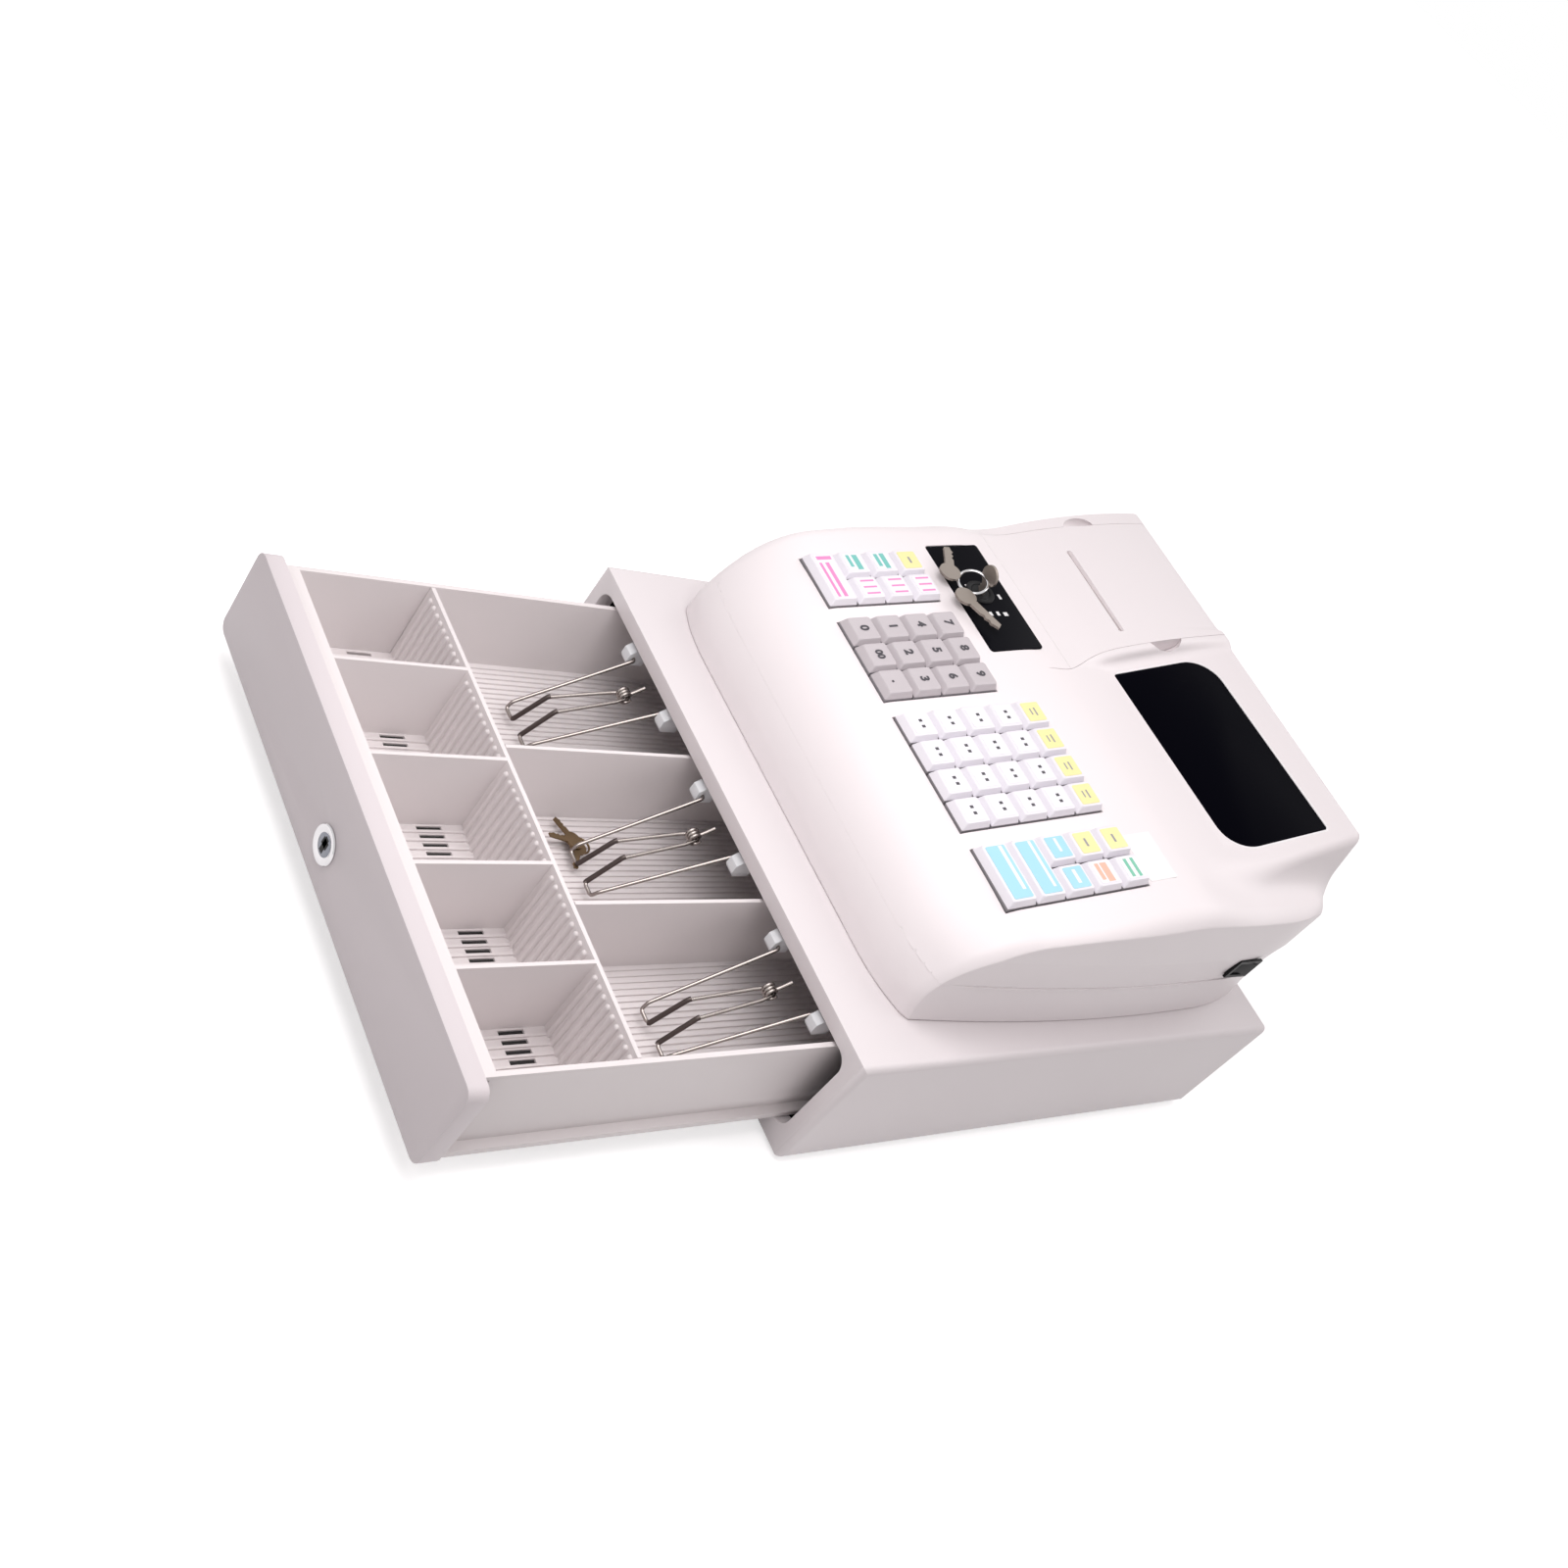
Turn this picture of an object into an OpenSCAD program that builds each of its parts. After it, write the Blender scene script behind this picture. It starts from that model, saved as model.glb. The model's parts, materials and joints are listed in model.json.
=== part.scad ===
// Electronic cash register with a sprung keyboard, a receipt printer bay and a coin and note drawer.
// The drawer stands open at rest. X runs left to right for the operator, Y runs front to back, Z is up.

/* [Drawer housing] */
// Width of the drawer housing
housing_w = 330; // [300:1:380]
// Depth of the drawer housing
housing_d = 336; // [320:1:380]
// Height of the drawer housing above its underside
housing_h = 77; // [72:1:90]
// Thickness of the housing's plates
housing_wall = 3; // [2:0.5:4]
// Radius of the housing's outer edges
housing_edge_r = 4; // [2:0.5:8]
// Depth of the frame around the drawer opening
frame_depth = 10; // [8:1:16]
// Width of the opening's side frames
frame_side = 10.6; // [9:0.2:14]
// Height of the frame under the opening
frame_bottom = 10.7; // [8:0.1:13]
// Height of the frame over the opening
frame_top = 8.7; // [6:0.1:12]
// Radius of the opening's corners
opening_r = 8; // [4:0.5:12]
// Height of the rubber feet
foot_h = 3; // [2:0.5:8]
// Radius of the rubber feet
foot_r = 9; // [6:0.5:14]

/* [Drawer] */
// Distance that the drawer stands open
drawer_open = 203; // [150:1:215]
// Thickness of the drawer's front panel, rim included
panel_d = 10; // [8:0.5:14]
// Gap between the front panel and the opening, each side
panel_gap = 2.4; // [1.5:0.1:4]
// Thickness of the front panel's face
panel_wall = 3; // [2:0.5:5]
// Radius of the front panel's corners
panel_r = 6; // [2:0.5:10]
// Depth of the runner rails on the housing's side walls
rail_d = 13; // [12:0.5:15]
// Room behind the closed drawer for its latch
latch_room = 58; // [54:1:66]
// Height of the tray's underside above the housing's underside
tray_z = 12; // [11.5:0.1:13]
// Gap over the tray's rim, up to the top of the opening
tray_room = 2.5; // [1.5:0.1:4]
// Thickness of the tray's walls
tray_wall = 2.6; // [2:0.1:4]
// Width of the flange along the tray's lower edges
flange_w = 5; // [3:0.5:5.5]
// Thickness of that flange
flange_h = 3.6; // [2:0.2:5]
// Pitch of the ribs in the note bays
note_rib_pitch = 3.6; // [3:0.1:8]
// Height of the ribs in the note bays
note_rib_h = 1.2; // [0.6:0.1:2]

/* [Coin and note bays] */
// Length of the coin bays from front to back
coin_len = 72; // [60:1:80]
// Space between the coin tray's front and the front panel
coin_front_gap = 3.6; // [3:0.1:6]
// Places of the dividers between the coin bays, as shares of the tray's half width
coin_splits = [-0.6026, -0.1923, 0.2479, 0.6396];
// Places of the dividers between the note bays, as shares of the tray's half width
note_splits = [-0.2521, 0.4103];
// Pitch of the ribs and slots in the coin bays
coin_rib_pitch = 5.2; // [4:0.1:8]
// Height of the ribs on the coin bays' floors
coin_rib_h = 1.2; // [0.8:0.1:2]
// Radius of the round ribs on the coin bays' rear wall
wall_rib_r = 1.6; // [1:0.1:2]
// Length of the slots in the coin bays' floors
slot_len = 14; // [8:0.5:20]
// Width of those slots
slot_w = 2.4; // [1.5:0.1:3]
// Distance of the slots from the coin bays' rear wall
slot_back = 12; // [6:0.5:20]

/* [Note clips] */
// Width of a note clip between its lugs
clip_w = 41; // [30:1:50]
// Diameter of the clip wire
wire_d = 2; // [1.6:0.1:2.6]
// Places of the three note clips, as shares of the tray's half width
clip_splits = [-0.6375, 0.047, 0.7251];
// Reach of a clip from its pivot to its front loop
clip_reach = 64; // [50:1:72]
// Height of a clip's front loop above the floor's ribs
clip_lift = 5; // [1.5:0.5:12]
// Height of the clip pivots under the tray's rim
pivot_drop = 6; // [5:0.2:9]
// Distance of the clip pivots behind the housing's front when the drawer is open
pivot_y = 3.5; // [0:0.5:8]
// Width of a lug that holds a clip
lug_w = 7; // [5:0.5:9]

/* [Register body] */
// Greatest width of the register body
body_w = 295; // [280:1:300]
// Overhang of the body's rear past the housing
body_overhang = 8; // [2:1:10]
// Distance of the front row of keys from the body's front
key_margin = 39.5; // [36:0.5:44]
// Distance from the last row of keys to the level part of the top
level_gap = 25.5; // [23:0.5:30]
// Length of the level part, up to the body's rear
rear_len = 152; // [147:1:159]
// Height of the seam between the lower and upper case above the housing
seam_h = 30.5; // [24:0.5:36]
// Wall thickness of both cases
case_wall = 2.6; // [2:0.1:3.5]
// Bow of the body's sides, from the widest point to the front corner
side_bow = 10; // [4:0.5:14]
// Tilt of the key deck in degrees
deck_tilt = 12.4; // [9:0.1:15]
// Height of the key deck above the housing where the front row of keys starts
deck_h = 62.4; // [56:0.2:70]
// Radius of the body's upper front edge
nose_r = 34; // [24:1:38]

/* [Keys] */
// Pitch of the keys
key_pitch = 19.05; // [18.2:0.05:19.4]
// Gap between the blocks of keys
block_gap = 10.2; // [8:0.1:12]
// Gap between neighbouring keys
key_gap = 0.9; // [0.6:0.1:1.4]
// Height of the keys above the deck
key_h = 4.9; // [3.5:0.1:7]
// Travel of the keys
key_travel = 3; // [2:0.1:3.5]

/* [Printer and display] */
// Width of the case's cheek beside the printer cover
cheek_w = 6.5; // [5:0.5:10]
// Right edge of the printer cover
cover_right = -42.5; // [-46:0.5:-38]
// Length of the printer cover, up to the body's rear
cover_len = 130; // [124:1:137]
// Thickness of the printer cover
cover_wall = 2.4; // [1.8:0.1:3]
// Width of the paper slot
paper_slot_w = 64; // [60:0.5:70]
// Radius of the paper roll
roll_r = 24; // [20:0.5:25]
// Width of the paper roll
roll_w = 57; // [56:0.5:60]
// Width of the display window
window_w = 131; // [110:1:136]
// Length of the display window along its slope
window_len = 71; // [56:1:74]
// Slope of the display window in degrees
window_tilt = 18.6; // [14:0.1:22]
// Corner radius of the display window
window_r = 17; // [8:0.5:26]

/* [Clearances] */
// Radial clearance of a shaft that turns in its hole
running_gap = 0.05; // [0.02:0.01:0.1]
// Gap between pieces that slide past each other
slide_gap = 0.3; // [0.2:0.05:0.4]

/* [Hidden] */
$fn = 48;
tiny = 0.01;
through = 1;            // how far a cut runs past the faces that it opens

shell_color = "#f1ecee";
tray_color = "#cfc8c8";
panel_color = "#d9d2d6";
wire_color = "#8d8880";
steel_color = "#b9bcc0";
black_color = "#141416";
board_color = "#2f6b3c";
key_color = "#f4f2f4";
number_color = "#cbc5ca";

// Drawer opening and front panel
opening_w = housing_w - 2 * frame_side;
opening_h = housing_h - frame_bottom - frame_top;
panel_w = opening_w - 2 * panel_gap;
panel_h = opening_h - 2 * panel_gap + 1;
panel_z = frame_bottom + panel_gap - 0.4;

// Tray, as wide as the runners leave it, as high as the opening and as long as the latch leaves it
rail_gap = 1;
tray_h = housing_h - frame_top - tray_room - tray_z;
tray_w = housing_w - 2 * (housing_wall + rail_d + rail_gap + flange_w);
tray_len = housing_d - housing_wall - panel_d - latch_room;

// Tray, in the drawer's own frame: Y counts from the front panel's face
tray_top = tray_z + tray_h;
tray_front = panel_d + coin_front_gap;
tray_back = panel_d + tray_len;
coin_front = tray_front + tray_wall;
coin_back = coin_front + coin_len;
divider_back = coin_back + tray_wall;
bay_edge = tray_w / 2 - tray_wall;
coin_dividers = coin_splits * bay_edge;
note_dividers = note_splits * bay_edge;
clip_centres = clip_splits * bay_edge;
divider_t = 2;
note_floor = tray_z + tray_wall;
coin_floor_t = 2;
coin_floor = note_floor + coin_floor_t;
stub_r = 2.5;           // axle stubs of the drawer's rollers
roller_r = 6.3;
roller_w = 6;
roller_y = tray_back - 20;
rail_floor_z = tray_z + 2.4;
rail_t = 1.2;
roller_z = rail_floor_z + rail_t + slide_gap + roller_r;
rail_in = tray_w / 2 + flange_w + rail_gap;
rail_out = housing_w / 2 - housing_wall;
striker_y = 12;         // reach of the latch striker behind the tray
striker_r = 2.5;
striker_z = 38;
latch_t = 3;
latch_z = 28;
latch_x = -8;
latch_arm_w = 6;
latch_toe_l = 6;
latch_swing = 10;       // how far the hook is drawn aside at rest
latch_post_r = 2.5;
striker_closed_y = tray_back + striker_y;
latch_toe_y = striker_closed_y - striker_r - 0.5;
latch_pivot_y = striker_closed_y + 31;

// Lock in the drawer's front
lock_z = panel_z + panel_h / 2 - 7;
lock_r = 9.7;
barrel_r = 8;
plug_r = 5.8;
cam_t = 1.8;
cam_y = panel_d + (coin_front_gap - cam_t) / 2;
cam_reach = lock_z - frame_bottom + 3.5;

// Note clips, in the drawer's own frame
clip_y = drawer_open + pivot_y;
clip_z = tray_top - pivot_drop;
lug_h = 11;
rail_bar_y = 8.5;       // distance of the clips' bar behind their pivots
rail_bar_d = 4;
rail_bar_h = 6;
rim_drop = 0.4;         // drop of the clips' bar below the tray's rim

// Register body
seam_z = housing_h + seam_h;
body_rear = housing_d + body_overhang;
half_body = body_w / 2;
block_cols = [2, 3, 4, 2];      // key blocks: columns and rows of each
block_rows = [4, 4, 5, 5];
level_y = body_rear - rear_len;
deck_y = level_y - level_gap - max(block_rows) * key_pitch * cos(deck_tilt);
body_y = deck_y - key_margin;
bow_y = body_y + 0.55 * (body_rear - body_y);
deck_z0 = housing_h + deck_h;
level_z = deck_z0 + tan(deck_tilt) * (level_y - deck_y);
edge_r = 20;            // radius of the deck's side edges, cut by the case's upright sides
edge_out = 4;           // overhang that the upright sides cut away
corner_r = 28;
rear_r = 18;
nose_share = 0.61;      // part of the body's width that the straight nose takes
front_cut_x = 25;       // front corners of the body, cut off at a slant
front_cut_y = 8;
rear_cut_x = 12;
rear_cut_y = 34;

// Key blocks across the deck
key_field_w = 11 * key_pitch + 3 * block_gap;
key_field_left = -key_field_w / 2;
block_left = [for (b = [0:3]) key_field_left
              + block_gap * b + key_pitch * sum_before(block_cols, b)];
key_drop = 4;           // depth of a cap below the deck
stem_w = 5;
guide_z = -10;          // top of the guide plate below the deck
guide_t = 2;
stem_len = 14;
board_gap = key_travel + 1;
board_z = housing_h + case_wall + 5;

// Printer hump: two large circles and the hinge knuckle under one skin
hump_r = 16;
hump_rear_r = 9;
cover_front = body_rear - cover_len;
hump_front = [body_rear - 76, level_z - 4.6];
hump_rear = [body_rear - hump_rear_r, level_z + 23];
knuckle_r = 6;
trough_r = knuckle_r + 1;       // clears the cover's rear wall when the cover is up
hinge_y = body_rear - knuckle_r;
hinge_z = level_z + 3;
pin_r = 1.6;
lug_r = 3.3;
hinge_lug_w = 5;
hinge_lugs = [cover_right - 72, cover_right - 14];
cheek_end = body_rear - 44;
sill = 2;               // depth of the step that the cover lies in
slot_y = hump_front[0] + 2;
housing_left = cover_right + slide_gap;
printer_x = cover_right - 46;
printer_open = [printer_x - 39, printer_x + 36];
platen_y = hump_front[0] - 4;
platen_z = level_z - 2.5;
platen_r = 6.5;
roll_y = hinge_y - 45;
roll_z = level_z - 17;
bucket_in = roll_w / 2 + 1.5;
unit_wall = 2;

// Display
window_x = 36.5;
window_y = body_rear - 91;
window_t = 2;
display_right = 114;
display_r = 6;

// Mode lock
mode_x = -87;
mode_y = level_y - 13.5;
mode_barrel_r = 8;
mode_w = 82.5;
mode_l = 38;
mode_panel_x = -84;
mode_panel_y = level_y - 31;
mode_t = 1.2;

// Power switch on the right side
switch_y = body_rear - 65;
switch_z = seam_z + 9.5;
switch_l = 21;
switch_hh = 15;
rocker_tilt = 8;
rocker_x = 2;           // depth of the rocker's pin inside the body's side

// Everything stands centred over the open register, on its feet
front_y = -drawer_open - 1.5;
mid_y = (front_y + body_rear) / 2;

function sum_before(v, n) = n == 0 ? 0 : v[n - 1] + sum_before(v, n - 1);
function deck_z(y) = y < level_y ? deck_z0 + tan(deck_tilt) * (y - deck_y) : level_z;
function side_x(y) = half_body - side_bow * pow((y - bow_y) / (bow_y - body_y), 2);
function plan_right(inset) = let (
    y0 = body_y + inset,
    y1 = body_rear - inset,
    steps = 16,
    ya = body_y + front_cut_y + inset * 0.6,
    yb = body_rear - rear_cut_y - inset * 0.4
) concat(
    [[side_x(ya) - front_cut_x - inset, y0]],
    [for (i = [0:steps]) let (y = ya + (yb - ya) * i / steps) [side_x(y) - inset, y]],
    [[side_x(y1) - rear_cut_x - inset, y1]]);
function mirrored(points) = [for (i = [len(points) - 1:-1:0]) [-points[i][0], points[i][1]]];

module placed() {
    translate([0, -mid_y, foot_h]) children();
}

module on_drawer() {
    placed() translate([0, -drawer_open, 0]) children();
}

// On the key deck: X across, Y up the slope from the front row, Z out of the deck
module on_deck() {
    placed() translate([0, deck_y, deck_z0]) rotate([deck_tilt, 0, 0]) children();
}

// On the display slope: Y up the slope from the window's front edge
module on_window() {
    placed() translate([window_x, window_y, level_z]) rotate([window_tilt, 0, 0]) children();
}

// Rectangle with round corners, centred on X, standing on Y = 0
module rounded_rect(w, h, r) {
    translate([-w / 2 + r, 0]) square([w - 2 * r, h]);
    translate([-w / 2, r]) square([w, h - 2 * r]);
    for (x = [-w / 2 + r, w / 2 - r]) for (y = [r, h - r]) translate([x, y]) circle(r);
}

// Upright prism from a front view, running back from Y = y0
module front_prism(y0, depth) {
    translate([0, y0 + depth, 0]) rotate([90, 0, 0]) linear_extrude(depth) children();
}

// Prism from a side view, running from X = x0 to x1
module side_prism(x0, x1) {
    translate([x0, 0, 0]) rotate([90, 0, 90]) linear_extrude(x1 - x0) children();
}

module rod_x(r, x0, x1) {
    translate([x0, 0, 0]) rotate([0, 90, 0]) cylinder(r = r, h = x1 - x0);
}

// Twelve-sided wire through a list of points; each length runs a little past its ends
module wire(points, d) {
    run = 0.45 * d;
    for (i = [0:len(points) - 2]) {
        v = points[i + 1] - points[i];
        translate(points[i]) rotate([0, acos(v[2] / norm(v)), atan2(v[1], v[0])])
            translate([0, 0, -run]) cylinder(r = d / 2, h = norm(v) + 2 * run, $fn = 12);
    }
}

// ---- Drawer housing ----

module base_housing() {
    placed() color(shell_color) {
        difference() {
            intersection() {
                front_prism(0, housing_d) rounded_rect(housing_w, housing_h, housing_edge_r);
                linear_extrude(housing_h) rounded_rect(housing_w, housing_d, housing_edge_r);
            }
            translate([-housing_w / 2 + housing_wall, frame_depth, housing_wall])
                cube([housing_w - 2 * housing_wall, housing_d - frame_depth - housing_wall,
                      housing_h - 2 * housing_wall]);
            translate([0, 0, frame_bottom])
                front_prism(-through, frame_depth + 2 * through)
                    rounded_rect(opening_w, opening_h, opening_r);
        }
        glide_pads();
        latch_post();
    }
}

// Pads on the frame that the tray's underside glides on
module glide_pads() {
    pad_w = 20;
    for (x = [-110, 110])
        translate([x - pad_w / 2, 2, frame_bottom - tiny])
            cube([pad_w, frame_depth - 3, tray_z - slide_gap - frame_bottom + tiny]);
}

module latch_post() {
    translate([latch_x, latch_pivot_y, housing_wall - tiny])
        cylinder(r = latch_post_r, h = latch_z + latch_t + 2 - housing_wall);
    translate([latch_x, latch_pivot_y, housing_wall - tiny])
        cylinder(r = latch_post_r + 2, h = latch_z - slide_gap - housing_wall);
}

module rubber_feet() {
    inset = 24;
    placed() color(black_color)
        for (x = [-1, 1])
            for (y = [inset, housing_d - inset])
                translate([x * (housing_w / 2 - inset), y, -foot_h])
                    cylinder(r1 = foot_r - 1, r2 = foot_r, h = foot_h);
}

// Channel rails on the housing's side walls, open towards the drawer
module runner_rails() {
    length = housing_d - frame_depth - housing_wall - 2;
    height = 2 * roller_r + 2 * slide_gap + 2 * rail_t;
    placed() color(steel_color)
        for (side = [0, 1]) mirror([side, 0, 0])
            translate([0, frame_depth + 1, rail_floor_z])
                difference() {
                    translate([rail_in, 0, 0]) cube([rail_out - rail_in, length, height]);
                    translate([rail_in - through, -through, rail_t])
                        cube([rail_out - rail_in - rail_t + through, length + 2 * through,
                              height - 2 * rail_t]);
                }
}

// ---- Drawer latch ----

// Hook for the striker of the closed drawer, drawn aside about its upright post
module latch_lever() {
    reach = latch_pivot_y - latch_toe_y;
    placed() color(steel_color) translate([latch_x, latch_pivot_y, latch_z])
        rotate([0, 0, -latch_swing]) difference() {
            linear_extrude(latch_t) {
                circle(6);
                translate([-latch_arm_w / 2, -reach - latch_toe_l])
                    square([latch_arm_w, reach + latch_toe_l]);
                polygon([[0, -reach - latch_toe_l], [-latch_x + 2.2, -reach - 1.5],
                         [-latch_x + 2.2, -reach], [0, -reach]]);
            }
            translate([0, 0, -through])
                cylinder(r = latch_post_r + running_gap, h = latch_t + 2 * through);
        }
}

// Coil, yoke and plunger that draw the hook aside
module latch_solenoid() {
    arm = 14;
    yoke = [30, 22, 2];
    plunger_r = 2.5;
    x1 = latch_x - (arm + plunger_r) * sin(latch_swing) - latch_arm_w / 2 / cos(latch_swing) - slide_gap;
    placed() color(steel_color) translate([x1, latch_pivot_y - arm, housing_wall]) {
        translate([-yoke[0] - 6, -yoke[1] / 2, 0]) cube(yoke);
        for (x = [-yoke[0] - 6, -8]) translate([x, -yoke[1] / 2, 0]) cube([2, yoke[1], 38]);
        translate([0, 0, latch_z + latch_t / 2 - housing_wall]) {
            rod_x(9, -yoke[0] - 5, -7);
            rod_x(plunger_r, -8, 0);
        }
    }
}

// ---- Drawer ----

module drawer_front() {
    on_drawer() color(panel_color) {
        difference() {
            translate([0, 0, panel_z]) front_prism(0, panel_d)
                rounded_rect(panel_w, panel_h, panel_r);
            translate([0, 0, panel_z + panel_wall]) front_prism(panel_wall, panel_d)
                rounded_rect(panel_w - 2 * panel_wall, panel_h - 2 * panel_wall,
                             panel_r - panel_wall + 1);
            translate([0, -through, lock_z]) rotate([-90, 0, 0])
                cylinder(r = barrel_r, h = panel_d);
        }
        // Pillars that meet the tray's front wall
        for (x = [-110, -55, 55, 110])
            translate([x, panel_wall - tiny, panel_z + panel_h / 2]) rotate([-90, 0, 0])
                cylinder(r = 5, h = tray_front - panel_wall + tiny);
    }
}

module drawer_tray() {
    floor_w = tray_w - 2 * tray_wall;
    on_drawer() color(tray_color) {
        difference() {
            union() {
                translate([-tray_w / 2, tray_front, tray_z])
                    cube([tray_w, tray_back - tray_front, tray_h]);
                translate([-tray_w / 2 - flange_w, tray_front, tray_z])
                    cube([tray_w + 2 * flange_w, tray_back - tray_front, flange_h]);
                // Lip that closes the gap to the front panel along the top
                translate([-tray_w / 2, panel_d, tray_top - tray_wall])
                    cube([tray_w, coin_front_gap + tiny, tray_wall]);
            }
            translate([-floor_w / 2, coin_front - tiny, note_floor])
                cube([floor_w, tray_back - tray_wall - coin_front, tray_h]);
            slot_openings();
        }
        for (x = note_dividers) note_divider(x);
        note_ribs();
        roller_stubs();
        striker();
    }
}

// Dividers between the note bays, notched at the top for the clip rail
module note_divider(x) {
    difference() {
        translate([x - divider_t / 2, divider_back + slide_gap, note_floor - tiny])
            cube([divider_t, tray_back - tray_wall - divider_back, tray_h - tray_wall]);
        translate([x - divider_t, clip_y + rail_bar_y - slide_gap,
                   tray_top - rim_drop - rail_bar_h - slide_gap])
            cube([2 * divider_t, rail_bar_d + 2 * slide_gap, rail_bar_h + 2]);
    }
}

module note_ribs() {
    n = floor((2 * bay_edge - 4) / note_rib_pitch);
    for (i = [0:n]) {
        x = (i - n / 2) * note_rib_pitch;
        translate([x - 0.6, divider_back + 1, note_floor - tiny])
            cube([1.2, tray_back - 2 * tray_wall - divider_back, note_rib_h + tiny]);
    }
}

module roller_stubs() {
    for (side = [0, 1]) mirror([side, 0, 0])
        translate([0, roller_y, roller_z]) {
            rod_x(stub_r, tray_w / 2 - tiny, tray_w / 2 + flange_w + 3 + roller_w + 1);
            rod_x(stub_r + 2, tray_w / 2 - tiny, tray_w / 2 + flange_w + 2.5);
        }
}

// Arm and pin behind the tray that the latch catches
module striker() {
    translate([-5, tray_back - tiny, striker_z])
        cube([10, striker_y + striker_r, 3]);
    translate([0, tray_back + striker_y, latch_z - 1])
        cylinder(r = striker_r, h = striker_z - latch_z + 1 + tiny);
}

// Slots through the floor under each coin bay
module slot_openings() {
    edges = concat([-bay_edge], coin_dividers, [bay_edge]);
    for (bay = [0:len(edges) - 2])
        for (x = [edges[bay] + coin_rib_pitch / 2 + 0.6 : coin_rib_pitch : edges[bay + 1] - 3])
            translate([x - slot_w / 2, coin_back - slot_back - slot_len, tray_z - through])
                cube([slot_w, slot_len, 2 * tray_wall + 2 * through]);
}

// Lift-out tray of coin bays with ribs that run along the floor and up the rear wall
module coin_tray() {
    left = -bay_edge + slide_gap;
    width = 2 * bay_edge - 2 * slide_gap;
    wall = tray_wall - slide_gap;
    on_drawer() color(tray_color) difference() {
        union() {
            translate([left, coin_front, note_floor])
                cube([width, coin_len + wall, coin_floor_t]);
            translate([left, coin_back, note_floor]) cube([width, wall, tray_h - tray_wall]);
            for (x = coin_dividers)
                translate([x - divider_t / 2, coin_front, note_floor])
                    cube([divider_t, coin_len + tiny, tray_h - tray_wall]);
            coin_ribs();
        }
        slot_openings();
    }
}

module coin_ribs() {
    edges = concat([-bay_edge], coin_dividers, [bay_edge]);
    rib_w = 1.4;
    for (bay = [0:len(edges) - 2])
        for (x = [edges[bay] + coin_rib_pitch + 0.6 : coin_rib_pitch : edges[bay + 1] - 3]) {
            translate([x - rib_w / 2, coin_front + 0.5, coin_floor - tiny])
                cube([rib_w, coin_len - 0.5 + tiny, coin_rib_h]);
            translate([x, coin_back, note_floor + 0.5]) wall_rib(tray_top - note_floor - 3.5);
        }
}

// Half-round rib with a domed top, half of it sunk in the wall
module wall_rib(height) {
    rotate_extrude($fn = 24) intersection() {
        union() {
            square([wall_rib_r, height - wall_rib_r]);
            translate([0, height - wall_rib_r]) circle(wall_rib_r);
        }
        square([wall_rib_r, height]);
    }
}

// Bar across the drawer with a pair of lugs for each note clip
module clip_rail() {
    on_drawer() color("white") difference() {
        union() {
            translate([-bay_edge + slide_gap, clip_y + rail_bar_y, tray_top - rim_drop - rail_bar_h])
                cube([2 * bay_edge - 2 * slide_gap, rail_bar_d, rail_bar_h]);
            for (c = clip_centres) for (side = [-1, 1])
                translate([c + side * (clip_w + lug_w) / 2, clip_y, 0]) clip_lug();
        }
        for (c = clip_centres)
            translate([0, clip_y, clip_z])
                rod_x(wire_d / 2 + running_gap, c - clip_w / 2 - lug_w + 1.5, c + clip_w / 2 + lug_w - 1.5);
    }
}

// Lug with slanted nose corners, from the bar forward past the pivot
module clip_lug() {
    nose = lug_w / 2;
    top = tray_top - rim_drop;
    low = tray_top - lug_h;
    side_prism(-lug_w / 2, lug_w / 2)
        polygon([[-nose, low + 2.5], [-nose + 2, low], [rail_bar_y, low], [rail_bar_y + tiny, top],
                 [-nose + 3, top], [-nose, top - 3]]);
}

// Bent wire that holds the notes down; its ends turn in the lugs
module note_clip(i) {
    side_x = clip_w / 2;
    tip_z = note_floor + note_rib_h + clip_lift - clip_z;
    frame = [
        [side_x - 1.6, 0, 0],
        [side_x - 3.6, 5 - clip_reach, tip_z + 2],
        [side_x - 7, -clip_reach, tip_z],
        [6, -clip_reach, tip_z],
        [5, 14 - clip_reach, tip_z + 17],
        [3.6, -13, -8]
    ];
    other = [for (i = [len(frame) - 1:-1:0]) [-frame[i][0], frame[i][1], frame[i][2]]];
    on_drawer() color(wire_color) translate([clip_centres[i], clip_y, clip_z]) {
        wire(frame, wire_d);
        wire(other, wire_d);
        for (s = [0, 1]) mirror([s, 0, 0])
            rod_x(wire_d / 2, side_x - 1.6 - wire_d / 2, side_x + lug_w - 2.5);
        // Coil that joins the two halves, and the leg behind it
        translate([0, -11, -7.5]) rod_x(3.2, -5, 5);
        wire([[0, -11, -7.5], [0, -1, -0.8]], wire_d);
    }
}

module note_clip_1() { note_clip(0); }
module note_clip_2() { note_clip(1); }
module note_clip_3() { note_clip(2); }

module drawer_rollers() {
    on_drawer() color("white")
        for (side = [0, 1]) mirror([side, 0, 0])
            translate([0, roller_y, roller_z]) difference() {
                rod_x(roller_r, tray_w / 2 + flange_w + 3, tray_w / 2 + flange_w + 3 + roller_w);
                rod_x(stub_r + running_gap, tray_w / 2, tray_w / 2 + flange_w + 3 + roller_w + through);
            }
}

// Lock barrel with its collar, nut side inside the front panel
module drawer_lock() {
    on_drawer() color(steel_color) translate([0, 0, lock_z]) rotate([-90, 0, 0]) difference() {
        union() {
            translate([0, 0, -1.5]) cylinder(r = lock_r, h = 1.5);
            cylinder(r = barrel_r - running_gap, h = panel_d);
            translate([0, 0, panel_wall]) cylinder(r = barrel_r + 2.5, h = 3, $fn = 6);
        }
        translate([0, 0, -2 - through]) cylinder(r = plug_r + running_gap, h = panel_d + 3 + through);
    }
}

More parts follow.
